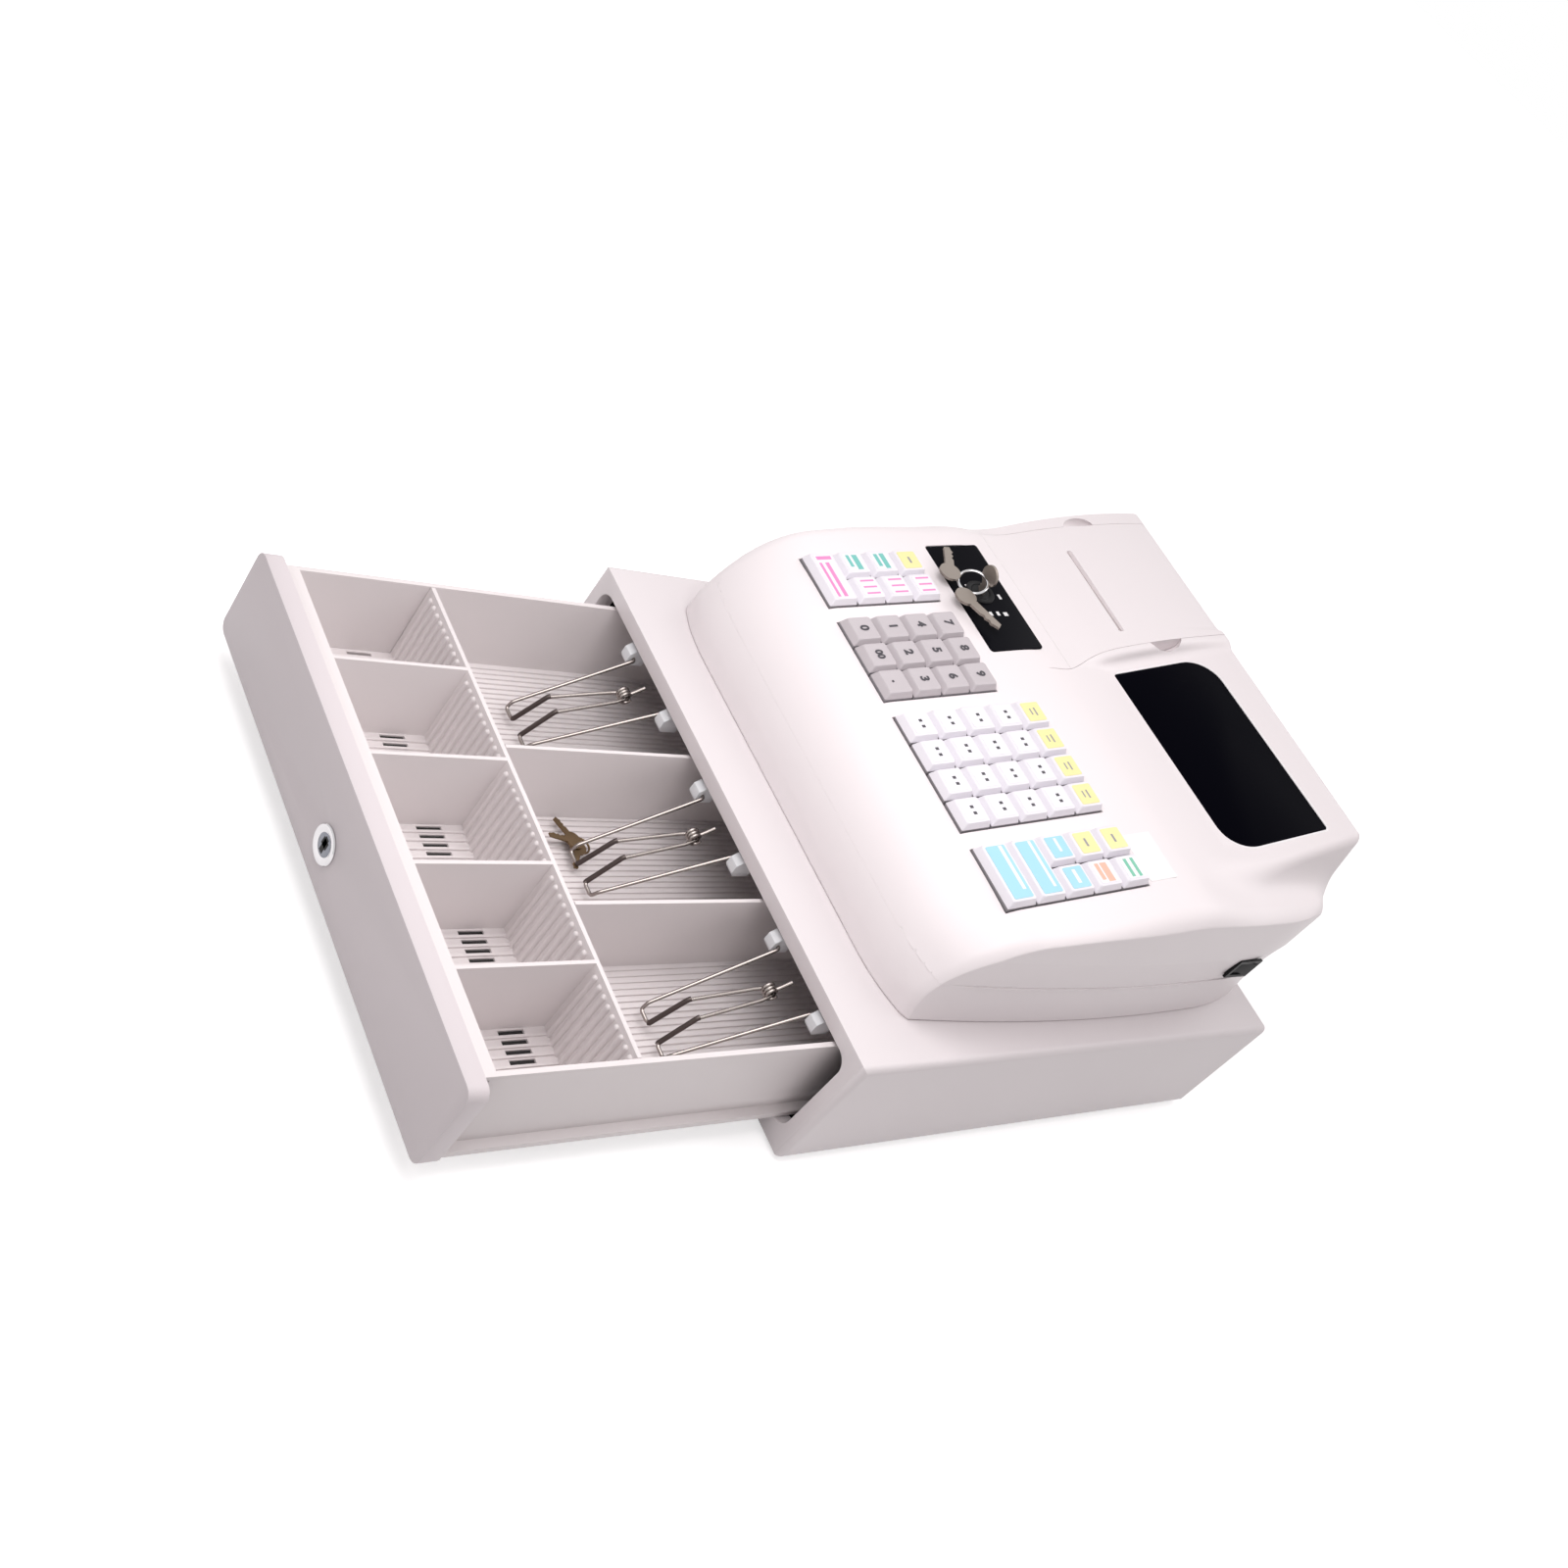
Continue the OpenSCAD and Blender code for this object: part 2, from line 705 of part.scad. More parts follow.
// Turning plug with its keyway and the cam behind the panel
module drawer_lock_plug() {
    on_drawer() color(steel_color) translate([0, 0, lock_z]) {
        rotate([-90, 0, 0]) difference() {
            translate([0, 0, -0.8]) cylinder(r = plug_r, h = cam_y + cam_t + 0.8);
            translate([-0.9, -4, -1 - through]) cube([1.8, 8, 5 + through]);
        }
        translate([-5, cam_y, -5]) cube([cam_reach + 5, cam_t, 10]);
    }
}

// ---- Register body ----

module plan(inset) {
    polygon(concat(plan_right(inset), mirrored(plan_right(inset))));
}

module lower_case() {
    placed() color(shell_color) {
        difference() {
            translate([0, 0, housing_h]) linear_extrude(seam_h) plan(0);
            translate([0, 0, housing_h + case_wall]) linear_extrude(seam_h) plan(case_wall);
            switch_opening();
        }
        // Posts under the main board
        for (x = [-20, 110]) for (y = [body_y + 56, body_y + 186])
            translate([x, y, housing_h + case_wall - tiny]) cylinder(r = 3.5, h = board_z - housing_h - case_wall);
    }
}

// Convex deck of the upper case, grown or shrunk by its wall
module deck_body(inset) {
    e = edge_r - inset;
    deep = 1 / cos(deck_tilt);
    hull() {
        translate([0, 0, seam_z - inset]) linear_extrude(tiny) plan(inset);
        translate([0, body_y + nose_r, deck_z(body_y + nose_r) - nose_r * deep])
            rod_x(nose_r - inset, -nose_share * half_body, nose_share * half_body, $fn = 64);
        for (s = [-1, 1]) {
            y1 = body_y + front_cut_y + corner_r;
            translate([s * (side_x(y1) - corner_r + 1), y1, deck_z(y1) - corner_r * deep])
                sphere(corner_r - inset, $fn = 48);
            for (y = [level_y - 70, level_y])
                translate([s * (side_x(y) - edge_r + edge_out), y, deck_z(y) - edge_r * deep])
                    sphere(e, $fn = 40);
            for (y = [level_y + 60, body_rear - rear_cut_y - 6])
                translate([s * (side_x(y) - edge_r + edge_out), y, level_z - edge_r])
                    sphere(e, $fn = 40);
            translate([s * (side_x(body_rear) - rear_cut_x - rear_r), body_rear - rear_r,
                       level_z - edge_r + rear_r * 0.1])
                sphere(rear_r - inset, $fn = 40);
        }
    }
}

// Display housing that rises out of the deck, flat on the printer's side
module display_body(inset) {
    r = display_r - inset;
    x0 = housing_left + inset;
    x1 = display_right - display_r;
    y1 = window_y + 5;
    y2 = body_rear - display_r;
    z_at = function (y) level_z + tan(window_tilt) * (y - window_y) - display_r / cos(window_tilt);
    hull() {
        for (y = [y1, y2]) translate([0, y, z_at(y)]) {
            rod_x(r, x0, x1, $fn = 32);
            translate([x1, 0, 0]) sphere(r, $fn = 32);
        }
        translate([x0, y1 - display_r + inset, level_z - 24])
            cube([x1 + 16 - x0 - 2 * inset, y2 - y1 + 2 * display_r - 2 * inset, 4]);
    }
}

// Side view of the printer hump, shared by the cover and the cheek beside it
module hump_profile(inset) {
    hull() {
        translate(hump_front) circle(hump_r - inset, $fn = 64);
        translate(hump_rear) circle(hump_rear_r - inset, $fn = 64);
        translate([hinge_y, hinge_z]) circle(knuckle_r - inset, $fn = 64);
        translate([hump_front[0] - hump_r + inset, level_z - 12]) square([20, 4]);
    }
}

// Strip of the body's outline that stays with the case beside the cover
module cheek_plan(grow) {
    intersection() {
        difference() {
            plan(0);
            translate([cheek_w + grow, 0]) plan(0);
        }
        translate([-half_body, 0]) square([half_body / 2, cheek_end + grow]);
    }
}

// Outline of the printer cover, or with a negative gap of the step that it lies in
module cover_plan(gap) {
    difference() {
        intersection() {
            plan(min(gap, 0));
            translate([-2 * half_body, cover_front + gap])
                square([2 * half_body + cover_right - gap, body_rear]);
        }
        cheek_plan(max(gap, 0));
    }
}

module upper_case() {
    placed() color(shell_color) {
        difference() {
            intersection() {
                union() {
                    deck_body(0);
                    display_body(0);
                    printer_shoulder();
                }
                translate([0, 0, seam_z]) linear_extrude(150) plan(0);
            }
            intersection() {
                union() {
                    deck_body(case_wall);
                    display_body(case_wall);
                }
                translate([0, 0, seam_z - through]) linear_extrude(150) plan(case_wall);
            }
            printer_opening();
            switch_opening();
            rotate_to_deck() deck_openings();
            rotate_to_window() translate([0, 0, -window_t]) linear_extrude(20) window_outline(slide_gap);
        }
        rotate_to_deck() keyboard_bosses();
        for (x = hinge_lugs) hinge_lug(x);
    }
}

// Solid cheek beside the cover and the sill under its hinge
module printer_shoulder() {
    intersection() {
        side_prism(-half_body, 0) hump_profile(0.6);
        linear_extrude(300) cheek_plan(0);
    }
    translate([-half_body, cheek_end - tiny, level_z - 22])
        cube([half_body + housing_left, body_rear - cheek_end + 1, 22 - sill]);
}

// Lug on the sill that carries the cover's hinge pin
module hinge_lug(x) {
    side_prism(x - hinge_lug_w / 2, x + hinge_lug_w / 2) difference() {
        union() {
            translate([hinge_y, hinge_z]) circle(lug_r);
            translate([hinge_y - lug_r, level_z - 20]) square([2 * lug_r, hinge_z - level_z + 20]);
        }
        translate([hinge_y, hinge_z]) circle(pin_r + running_gap);
    }
}

module rotate_to_deck() {
    translate([0, deck_y, deck_z0]) rotate([deck_tilt, 0, 0]) children();
}

module rotate_to_window() {
    translate([window_x, window_y, level_z]) rotate([window_tilt, 0, 0]) children();
}

module deck_openings() {
    for (b = [0:3])
        translate([block_left[b] - 0.2, -0.2, -20])
            cube([block_cols[b] * key_pitch + 0.4, block_rows[b] * key_pitch + 0.4, 40]);
    translate([mode_panel_x - mode_w / 2 - 0.2, mode_s(mode_panel_y) - 0.2, -mode_t])
        cube([mode_w + 0.4, mode_l + 0.4, 20]);
    translate([mode_x, mode_s(mode_y), -20]) cylinder(r = mode_barrel_r, h = 40);
}

// Place up the deck's slope for a distance from the housing's front
function mode_s(y) = (y - deck_y) / cos(deck_tilt);

module keyboard_bosses() {
    for (x = [-key_field_w / 2 - 6, key_field_w / 2 + 6]) for (s = [6, 88])
        translate([x, s, guide_z]) cylinder(r = 3, h = -guide_z - case_wall / 2);
}

module printer_opening() {
    translate([printer_open[0], cover_front + 8, seam_z])
        cube([printer_open[1] - printer_open[0], roll_y + roll_r + 3 - cover_front - 8, 150]);
    translate([0, 0, level_z - sill]) linear_extrude(100) cover_plan(-slide_gap);
    translate([0, hinge_y, hinge_z]) rod_x(trough_r, -half_body, housing_left - tiny);
}

module switch_opening() {
    translate([half_body - 12, switch_y - switch_l / 2 + 1, switch_z - switch_hh / 2 + 1])
        cube([24, switch_l - 2, switch_hh - 2]);
    translate([side_x(switch_y) - 0.6, switch_y - switch_l / 2 - 0.1, switch_z - switch_hh / 2 - 0.1])
        cube([10, switch_l + 0.2, switch_hh + 0.2]);
}

// Window outline: two sharp corners and two round ones across a diagonal
module window_outline(grow) {
    w = window_w / 2;
    r = window_r;
    difference() {
        translate([-w - grow, -grow]) square([window_w + 2 * grow, window_len + 2 * grow]);
        translate([w - r, -grow - 1]) square([r + grow + 1, r + grow + 1]);
        translate([-w - grow - 1, window_len - r]) square([r + grow + 1, r + grow + 1]);
    }
    translate([w - r, r]) circle(r + grow);
    translate([-w + r, window_len - r]) circle(r + grow);
}

module display_window() {
    placed() color(black_color) rotate_to_window()
        translate([0, 0, -window_t]) linear_extrude(window_t - 0.2) window_outline(0);
}

// Guide plate for the key stems, with the contact board under it
module keyboard_base() {
    x0 = -key_field_w / 2 - 10;
    width = key_field_w + 20;
    board_z0 = guide_z - stem_len + key_drop - 2;
    on_deck() {
        color(steel_color) difference() {
            translate([x0, -3, guide_z - guide_t]) cube([width, 5 * key_pitch + 6, guide_t]);
            for (b = [0:3]) for (i = [0:block_cols[b] - 1]) for (j = [0:block_rows[b] - 1])
                translate([block_left[b] + (i + 0.5) * key_pitch, (j + 0.5) * key_pitch, guide_z - guide_t / 2])
                    cube([stem_w + 2 * slide_gap, stem_w + 2 * slide_gap, guide_t + 2 * through], center = true);
        }
        color(board_color)
            translate([x0, -3, -key_drop - stem_len - board_gap - 1.6])
                cube([width, 5 * key_pitch + 6, 1.6]);
        color(steel_color) for (x = [x0 + 3, x0 + width - 3]) for (s = [0, 5 * key_pitch])
            translate([x, s, -key_drop - stem_len - board_gap])
                cylinder(r = 2, h = guide_z - guide_t + key_drop + stem_len + board_gap);
    }
}

// Main circuit board on its posts, with the larger components
module main_board() {
    placed() translate([0, body_y + 46, board_z]) {
        color(board_color) translate([-30, 0, 0]) cube([150, 150, 1.6]);
        color(black_color) {
            translate([20, 70, 1.6]) cube([22, 22, 2.4]);
            translate([60, 60, 1.6]) cube([18, 10, 2.2]);
        }
        color(steel_color) for (x = [-15, 0, 95]) translate([x, 130, 1.6]) cylinder(r = 5, h = 13);
    }
}

// ---- Keys ----

// One cap over `cols` x `rows` pitches, with a stem in the middle of its first pitch
module key_cap(b, col, row, cols = 1, rows = 1) {
    w = cols * key_pitch - key_gap;
    l = rows * key_pitch - key_gap;
    skirt = 1.1;
    draft = 1.5;
    on_deck() translate([block_left[b] + col * key_pitch + key_gap / 2, row * key_pitch + key_gap / 2, 0]) {
        translate([0, 0, -key_drop]) cube([w, l, key_drop + skirt]);
        hull() {
            translate([0, 0, skirt - tiny]) cube([w, l, tiny]);
            translate([draft, draft * 1.9, key_h - tiny]) cube([w - 2 * draft, l - 2.6 * draft, tiny]);
        }
        for (i = [0:cols - 1])
            translate([(i + 0.5) * key_pitch - key_gap / 2 - stem_w / 2,
                       key_pitch / 2 - key_gap / 2 - stem_w / 2, -key_drop - stem_len])
                cube([stem_w, stem_w, stem_len + tiny]);
    }
}

module subtotal_key() { color(key_color) key_cap(0, 0, 0, 2, 1); }
module side_key_2l() { color(key_color) key_cap(0, 0, 1); }
module side_key_2r() { color(key_color) key_cap(0, 1, 1); }
module side_key_3l() { color(key_color) key_cap(0, 0, 2); }
module side_key_3r() { color(key_color) key_cap(0, 1, 2); }
module side_key_4l() { color(key_color) key_cap(0, 0, 3); }
module side_key_4r() { color(key_color) key_cap(0, 1, 3); }

module num_0() { color(number_color) key_cap(1, 0, 0); }
module num_00() { color(number_color) key_cap(1, 1, 0); }
module num_point() { color(number_color) key_cap(1, 2, 0); }
module num_1() { color(number_color) key_cap(1, 0, 1); }
module num_2() { color(number_color) key_cap(1, 1, 1); }
module num_3() { color(number_color) key_cap(1, 2, 1); }
module num_4() { color(number_color) key_cap(1, 0, 2); }
module num_5() { color(number_color) key_cap(1, 1, 2); }
module num_6() { color(number_color) key_cap(1, 2, 2); }
module num_7() { color(number_color) key_cap(1, 0, 3); }
module num_8() { color(number_color) key_cap(1, 1, 3); }
module num_9() { color(number_color) key_cap(1, 2, 3); }

module dept_column(col) {
    color(key_color) for (row = [0:4]) key_cap(2, col, row);
}

module dept_column_1() { dept_column(0); }
module dept_column_2() { dept_column(1); }
module dept_column_3() { dept_column(2); }
module dept_column_4() { dept_column(3); }

module total_key() { color(key_color) key_cap(3, 0, 0, 2, 1); }
module cash_key() { color(key_color) key_cap(3, 0, 1, 2, 1); }
module fn_key_3l() { color(key_color) key_cap(3, 0, 2); }
module fn_key_3r() { color(key_color) key_cap(3, 1, 2); }
module fn_key_4l() { color(key_color) key_cap(3, 0, 3); }
module fn_key_4r() { color(key_color) key_cap(3, 1, 3); }
module fn_key_5l() { color(key_color) key_cap(3, 0, 4); }
module fn_key_5r() { color(key_color) key_cap(3, 1, 4); }

// ---- Mode lock ----

module mode_panel() {
    on_deck() color(black_color) difference() {
        translate([mode_panel_x - mode_w / 2, mode_s(mode_panel_y), -mode_t])
            cube([mode_w, mode_l, mode_t - 0.1]);
        translate([mode_x, mode_s(mode_y), -mode_t - through]) cylinder(r = mode_barrel_r, h = 10);
    }
}

module mode_lock() {
    on_deck() color(steel_color) translate([mode_x, mode_s(mode_y), 0]) difference() {
        union() {
            cylinder(r = mode_barrel_r + 1, h = 1.2);
            translate([0, 0, -16]) cylinder(r = mode_barrel_r - running_gap, h = 16 + tiny);
        }
        translate([0, 0, -18]) cylinder(r = plug_r + running_gap, h = 30);
    }
}

// Plug, the key in it, and the ring that carries two spare keys
module mode_key() {
    ring_r = 8.6;
    ring_tilt = 15.5;
    hole_z = 9.8;
    on_deck() color("#9a8f84") translate([mode_x, mode_s(mode_y), 0]) {
        translate([0, 0, -16]) cylinder(r = plug_r, h = 17);
        translate([-3, -0.9, 0.5]) cube([6, 1.8, 8]);
        translate([0, 0.9, 13]) rotate([90, 0, 0]) difference() {
            cylinder(r = 6.5, h = 1.8);
            translate([0, hole_z - 13, -through]) cylinder(r = 2.2, h = 4);
        }
        translate([-1.6, -ring_r * cos(ring_tilt), hole_z - ring_r * sin(ring_tilt)])
            rotate([ring_tilt, 0, 0]) rotate_extrude() translate([ring_r, 0]) circle(r = 0.8, $fn = 24);
        spare_key([-11.3, -18.6, 5.5], 154, 21);
        spare_key([8, -18.6, 5.5], 20, 27);
    }
}

// Flat key lying level: a round bow with its blade
module spare_key(at, turn, reach) {
    translate(at) rotate([0, 0, turn]) {
        cylinder(r = 6.5, h = 1.6);
        translate([5, -2.7, 0]) cube([reach - 5, 5.4, 1.6]);
    }
}

// ---- Printer ----

module printer_cover() {
    notch_y = hump_front[0] + 22;
    placed() color(shell_color) {
        difference() {
            intersection() {
                side_prism(-half_body, cover_right) union() {
                    hump_profile(0);
                    translate([cover_front, level_z - sill + slide_gap])
                        square([60, sill - slide_gap + 0.4]);
                }
                translate([0, 0, level_z - sill + slide_gap]) linear_extrude(100) cover_plan(slide_gap);
            }
            intersection() {
                side_prism(-half_body, cover_right - cover_wall) hump_profile(cover_wall);
                translate([cheek_w + slide_gap + cover_wall, 0, level_z - 20])
                    linear_extrude(100) plan(cover_wall);
            }
            translate([printer_x - paper_slot_w / 2, slot_y, level_z + 2])
                cube([paper_slot_w, 3, 30]);
            for (x = hinge_lugs)
                translate([x - hinge_lug_w / 2 - slide_gap, hinge_y - lug_r - slide_gap, level_z - 10])
                    cube([hinge_lug_w + 2 * slide_gap, 20, hinge_z + lug_r + slide_gap - level_z + 10]);
            for (x = [cheek_w - side_x(notch_y), cover_right])
                translate([x, notch_y, hump_front[1] + hump_r + 10])
                    scale([0.35, 1, 1]) sphere(9, $fn = 32);
        }
        for (x = hinge_lugs) translate([0, hinge_y, hinge_z]) {
            rod_x(pin_r, x - hinge_lug_w / 2 - 3, x + hinge_lug_w / 2 + 3);
            for (e = [-hinge_lug_w / 2 - 3, hinge_lug_w / 2 + slide_gap])
                rod_x(knuckle_r - cover_wall + 0.2, x + e, x + e + 3 - slide_gap);
        }
    }
}

// Printer frame: side plates, print head, the bucket and rod that hold the paper roll
module printer_unit() {
    x0 = printer_x - bucket_in - unit_wall;
    x1 = printer_x + bucket_in;
    y0 = platen_y - 8;
    y1 = roll_y + roll_r + 2;
    z0 = roll_z - roll_r - 5;
    placed() color(steel_color) {
        for (x = [x0, x1]) difference() {
            translate([x, y0, z0]) cube([unit_wall, y1 - y0, platen_z + 3.2 - z0]);
            translate([0, platen_y, platen_z]) rod_x(2.5 + running_gap, x - through, x + unit_wall + through);
        }
        translate([x0, y0, z0]) cube([x1 - x0 + unit_wall, y1 - y0, unit_wall]);
        translate([x0 + unit_wall - tiny, y0, z0]) cube([2 * bucket_in + 2 * tiny, 11, platen_z - platen_r - 2 - z0]);
        translate([0, roll_y, roll_z]) rod_x(5, x0 + tiny, x1 + tiny);
        for (x = [x0, x1 - 6]) for (y = [y0, y1 - 8])
            translate([x, y, housing_h + case_wall]) cube([8, 8, z0 - housing_h - case_wall + tiny]);
    }
}

module platen_roller() {
    reach = bucket_in + unit_wall + 1;
    placed() color("#2b2b2b") translate([printer_x, platen_y, platen_z]) {
        rod_x(platen_r, -bucket_in + 1, bucket_in - 1);
        rod_x(2.5, -reach, reach);
        rod_x(5, -reach - 4, -reach);
    }
}

module paper_roll() {
    placed() color("white") translate([printer_x, roll_y, roll_z]) difference() {
        rod_x(roll_r, -roll_w / 2, roll_w / 2, $fn = 64);
        rod_x(5.6, -roll_w / 2 - through, roll_w / 2 + through);
    }
}

// ---- Power switch ----

module power_switch() {
    placed() color(black_color) translate([side_x(switch_y), switch_y, switch_z]) difference() {
        union() {
            translate([-0.6, -switch_l / 2, -switch_hh / 2]) cube([1.8, switch_l, switch_hh]);
            translate([-16, -switch_l / 2 + 1.2, -switch_hh / 2 + 1.2])
                cube([16, switch_l - 2.4, switch_hh - 2.4]);
        }
        translate([-6, -switch_l / 2 + 2.4, -switch_hh / 2 + 2.4])
            cube([10, switch_l - 4.8, switch_hh - 4.8]);
        translate([-rocker_x, 0, -switch_hh / 2 + 1.6])
            cylinder(r = 1.2 + running_gap, h = switch_hh - 3.2);
    }
}

// Rocker on a short upright pin, tilted to one side
module power_rocker() {
    l = switch_l - 6.4;
    h = switch_hh - 4.8 - 2 * slide_gap;
    placed() color(black_color) translate([side_x(switch_y) - rocker_x, switch_y, 0])
        rotate([0, 0, -rocker_tilt]) {
            translate([0, 0, switch_z - h / 2]) linear_extrude(h)
                polygon([[-1.8, -l / 2], [rocker_x + 1.2, -l / 2], [rocker_x + 0.2, 0],
                         [rocker_x + 1.2, l / 2], [-1.8, l / 2]]);
            translate([0, 0, switch_z - switch_hh / 2 + 1.8]) cylinder(r = 1.2, h = switch_hh - 3.6);
        }
}

base_housing();
rubber_feet();
runner_rails();
latch_solenoid();
latch_lever();
drawer_front();
drawer_tray();
coin_tray();
clip_rail();
drawer_lock();
drawer_lock_plug();
drawer_rollers();
note_clip_1();
note_clip_2();
note_clip_3();
lower_case();
upper_case();
keyboard_base();
main_board();
mode_panel();
mode_lock();
mode_key();
printer_cover();
printer_unit();
platen_roller();
paper_roll();
display_window();
power_switch();
power_rocker();
subtotal_key();
side_key_2l();
side_key_2r();
side_key_3l();
side_key_3r();
side_key_4l();
side_key_4r();
num_0();
num_00();
num_point();
num_1();
num_2();
num_3();
num_4();
num_5();
num_6();
num_7();
num_8();
num_9();
dept_column_1();
dept_column_2();
dept_column_3();
dept_column_4();
total_key();
cash_key();
fn_key_3l();
fn_key_3r();
fn_key_4l();
fn_key_4r();
fn_key_5l();
fn_key_5r();
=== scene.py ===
import json
import math

import bmesh
import bpy
import numpy as np
from mathutils import Matrix, Vector


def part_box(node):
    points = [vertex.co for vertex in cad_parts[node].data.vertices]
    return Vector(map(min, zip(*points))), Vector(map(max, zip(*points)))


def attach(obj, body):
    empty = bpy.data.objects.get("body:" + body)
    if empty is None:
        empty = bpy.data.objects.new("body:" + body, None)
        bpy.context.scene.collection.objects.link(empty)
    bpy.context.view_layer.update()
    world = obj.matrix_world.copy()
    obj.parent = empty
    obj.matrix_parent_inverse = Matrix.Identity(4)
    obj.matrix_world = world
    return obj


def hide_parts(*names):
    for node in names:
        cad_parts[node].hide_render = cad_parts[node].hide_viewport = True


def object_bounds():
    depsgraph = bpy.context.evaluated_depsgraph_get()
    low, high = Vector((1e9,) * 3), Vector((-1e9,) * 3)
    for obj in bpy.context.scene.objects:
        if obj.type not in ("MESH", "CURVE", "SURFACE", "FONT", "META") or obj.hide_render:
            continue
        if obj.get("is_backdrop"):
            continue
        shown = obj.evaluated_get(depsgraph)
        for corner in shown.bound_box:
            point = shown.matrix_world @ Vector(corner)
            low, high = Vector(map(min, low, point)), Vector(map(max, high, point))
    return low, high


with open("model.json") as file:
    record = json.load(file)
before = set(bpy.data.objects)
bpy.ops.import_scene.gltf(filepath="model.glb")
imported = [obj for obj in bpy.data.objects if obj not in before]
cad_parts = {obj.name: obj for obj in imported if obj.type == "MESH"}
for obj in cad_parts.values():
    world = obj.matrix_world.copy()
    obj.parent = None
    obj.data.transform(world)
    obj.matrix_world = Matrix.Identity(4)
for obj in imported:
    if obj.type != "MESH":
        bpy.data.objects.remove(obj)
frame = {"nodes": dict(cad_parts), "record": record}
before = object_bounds()

# ---- Places, in millimetres from the middle of the housing's front edge, taken from the frame ----

MM = 0.001
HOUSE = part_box("base_housing")
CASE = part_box("lower_case")
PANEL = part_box("drawer_front")
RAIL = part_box("clip_rail")
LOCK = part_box("drawer_lock")
OY, OZ = HOUSE[0][1], HOUSE[0][2]


def hx(v):
    return v / MM


def hy(v):
    return (v - OY) / MM


def hz(v):
    return (v - OZ) / MM


HOUSE_W, HOUSE_D, HOUSE_H = hx(HOUSE[1][0]) * 2, hy(HOUSE[1][1]), hz(HOUSE[1][2])
BODY_Y, BODY_REAR, HALF_BODY = hy(CASE[0][1]), hy(CASE[1][1]), hx(CASE[1][0])
SEAM_Z = hz(CASE[1][2])
SEAM_LINE = SEAM_Z - 3.0            # where the case's seam shows

# Key deck: four blocks of keys on a slope, with a level apron behind them
DECK_TILT = math.radians(12.4)
DECK_AXIS = (0, -math.sin(DECK_TILT), math.cos(DECK_TILT))
PITCH = 19.05
KEY_GAP = 1.1
KEY_H = 4.9
BLOCK_GAP = 10.2
COLS = [2, 3, 4, 2]
ROWS = [4, 4, 5, 5]
FIELD_W = 11 * PITCH + 3 * BLOCK_GAP
LEFT = [-FIELD_W / 2 + BLOCK_GAP * b + PITCH * sum(COLS[:b]) for b in range(4)]
LEVEL_Y = BODY_REAR - 152.0
DECK_Y = LEVEL_Y - 25.5 - 5 * PITCH * math.cos(DECK_TILT)
DECK_Z = HOUSE_H + 62.4
LEVEL_Z = DECK_Z + math.tan(DECK_TILT) * (LEVEL_Y - DECK_Y)
STICKER = (103.0, 178.4)

# Mode lock and the panel round it
MODE = (-87.0, 178.5)
MODE_PANEL = (-84.0, 161.0)         # middle of its front edge
MODE_W, MODE_L = 82.5, 38.0

# Display window, on a steeper slope
WINDOW_TILT = math.radians(18.6)
WINDOW_X, WINDOW_Y = 36.5, LEVEL_Y + 61.0
WINDOW_W, WINDOW_L = 131.0, 71.0

# Printer cover
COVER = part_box("printer_cover")
COVER_TOP = hz(COVER[1][2])
COVER_FRONT = BODY_REAR - 130.0
SEAM_X = -42.5                      # seam between cover and display housing
HINGE = (hy(COVER[1][1]) - 6.0, LEVEL_Z + 3.0)
HINGE_R, TROUGH_R = 6.0, 7.0
SLOT = (-86.9, 268.6, 66.0)         # middle and width of the paper slot
# Half widths of the paper slot and of the sheet of painted shade in it
SLOT_HALF, SHADE_SHEET_HALF = 1.6, 1.8

LOCK_Z = hz((LOCK[0][2] + LOCK[1][2]) / 2)
CLIPS = [-89.5, 6.6, 101.8]
CLIP_PIVOT = (3.5, hz(RAIL[1][2]) - 5.6)    # in y and z
CLIP_TIP = -39.0                    # height of the presser bars' lower ends over the pivot
SLOTS = {s["node"]: s["material_slot"] for s in frame["record"]["subparts"]}


def row(p):
    """A point in housing millimetres, in the frame's metres."""
    return Vector((p[0] * MM, p[1] * MM + OY, p[2] * MM + OZ))


# ---- Making objects ----

def link(name, data):
    """New object in the scene, holding a mesh, a curve, a lamp or a camera."""
    obj = bpy.data.objects.new(name, data)
    bpy.context.scene.collection.objects.link(obj)
    return obj


def mesh_object(name, verts, faces):
    """Object from points in housing millimetres."""
    mesh = bpy.data.meshes.new(name)
    verts = np.asarray(verts, dtype=float) * MM + np.array([0.0, OY, OZ])
    mesh.from_pydata([tuple(v) for v in verts], [], [tuple(int(i) for i in f) for f in faces])
    mesh.validate()
    return link(name, mesh)


def smooth(obj, angle):
    """Smooth shading, but for the edges that bend by the angle or more."""
    def mark(bm):
        for e in bm.edges:
            e.smooth = len(e.link_faces) == 2 and e.calc_face_angle(0.0) < math.radians(angle)

    obj.data.shade_smooth()
    edit(obj, mark)


def edit(obj, change):
    """Runs a change of the object's mesh as a bmesh."""
    bm = bmesh.new()
    bm.from_mesh(obj.data)
    change(bm)
    bm.to_mesh(obj.data)
    bm.free()


def fix_normals(obj):
    edit(obj, lambda bm: bmesh.ops.recalc_face_normals(bm, faces=bm.faces))


def modify(obj, kind, **values):
    """Applies one modifier to the object's mesh."""
    mod = obj.modifiers.new(kind.lower(), kind)
    for key, value in values.items():
        setattr(mod, key, value)
    bpy.context.view_layer.update()
    graph = bpy.context.evaluated_depsgraph_get()
    mesh = bpy.data.meshes.new_from_object(obj.evaluated_get(graph))
    mesh.name = obj.data.name
    obj.modifiers.clear()
    obj.data = mesh


def bevel(obj, width):
    modify(obj, "BEVEL", width=width * MM, segments=2, limit_method="ANGLE",
           angle_limit=math.radians(30.0), use_clamp_overlap=True)


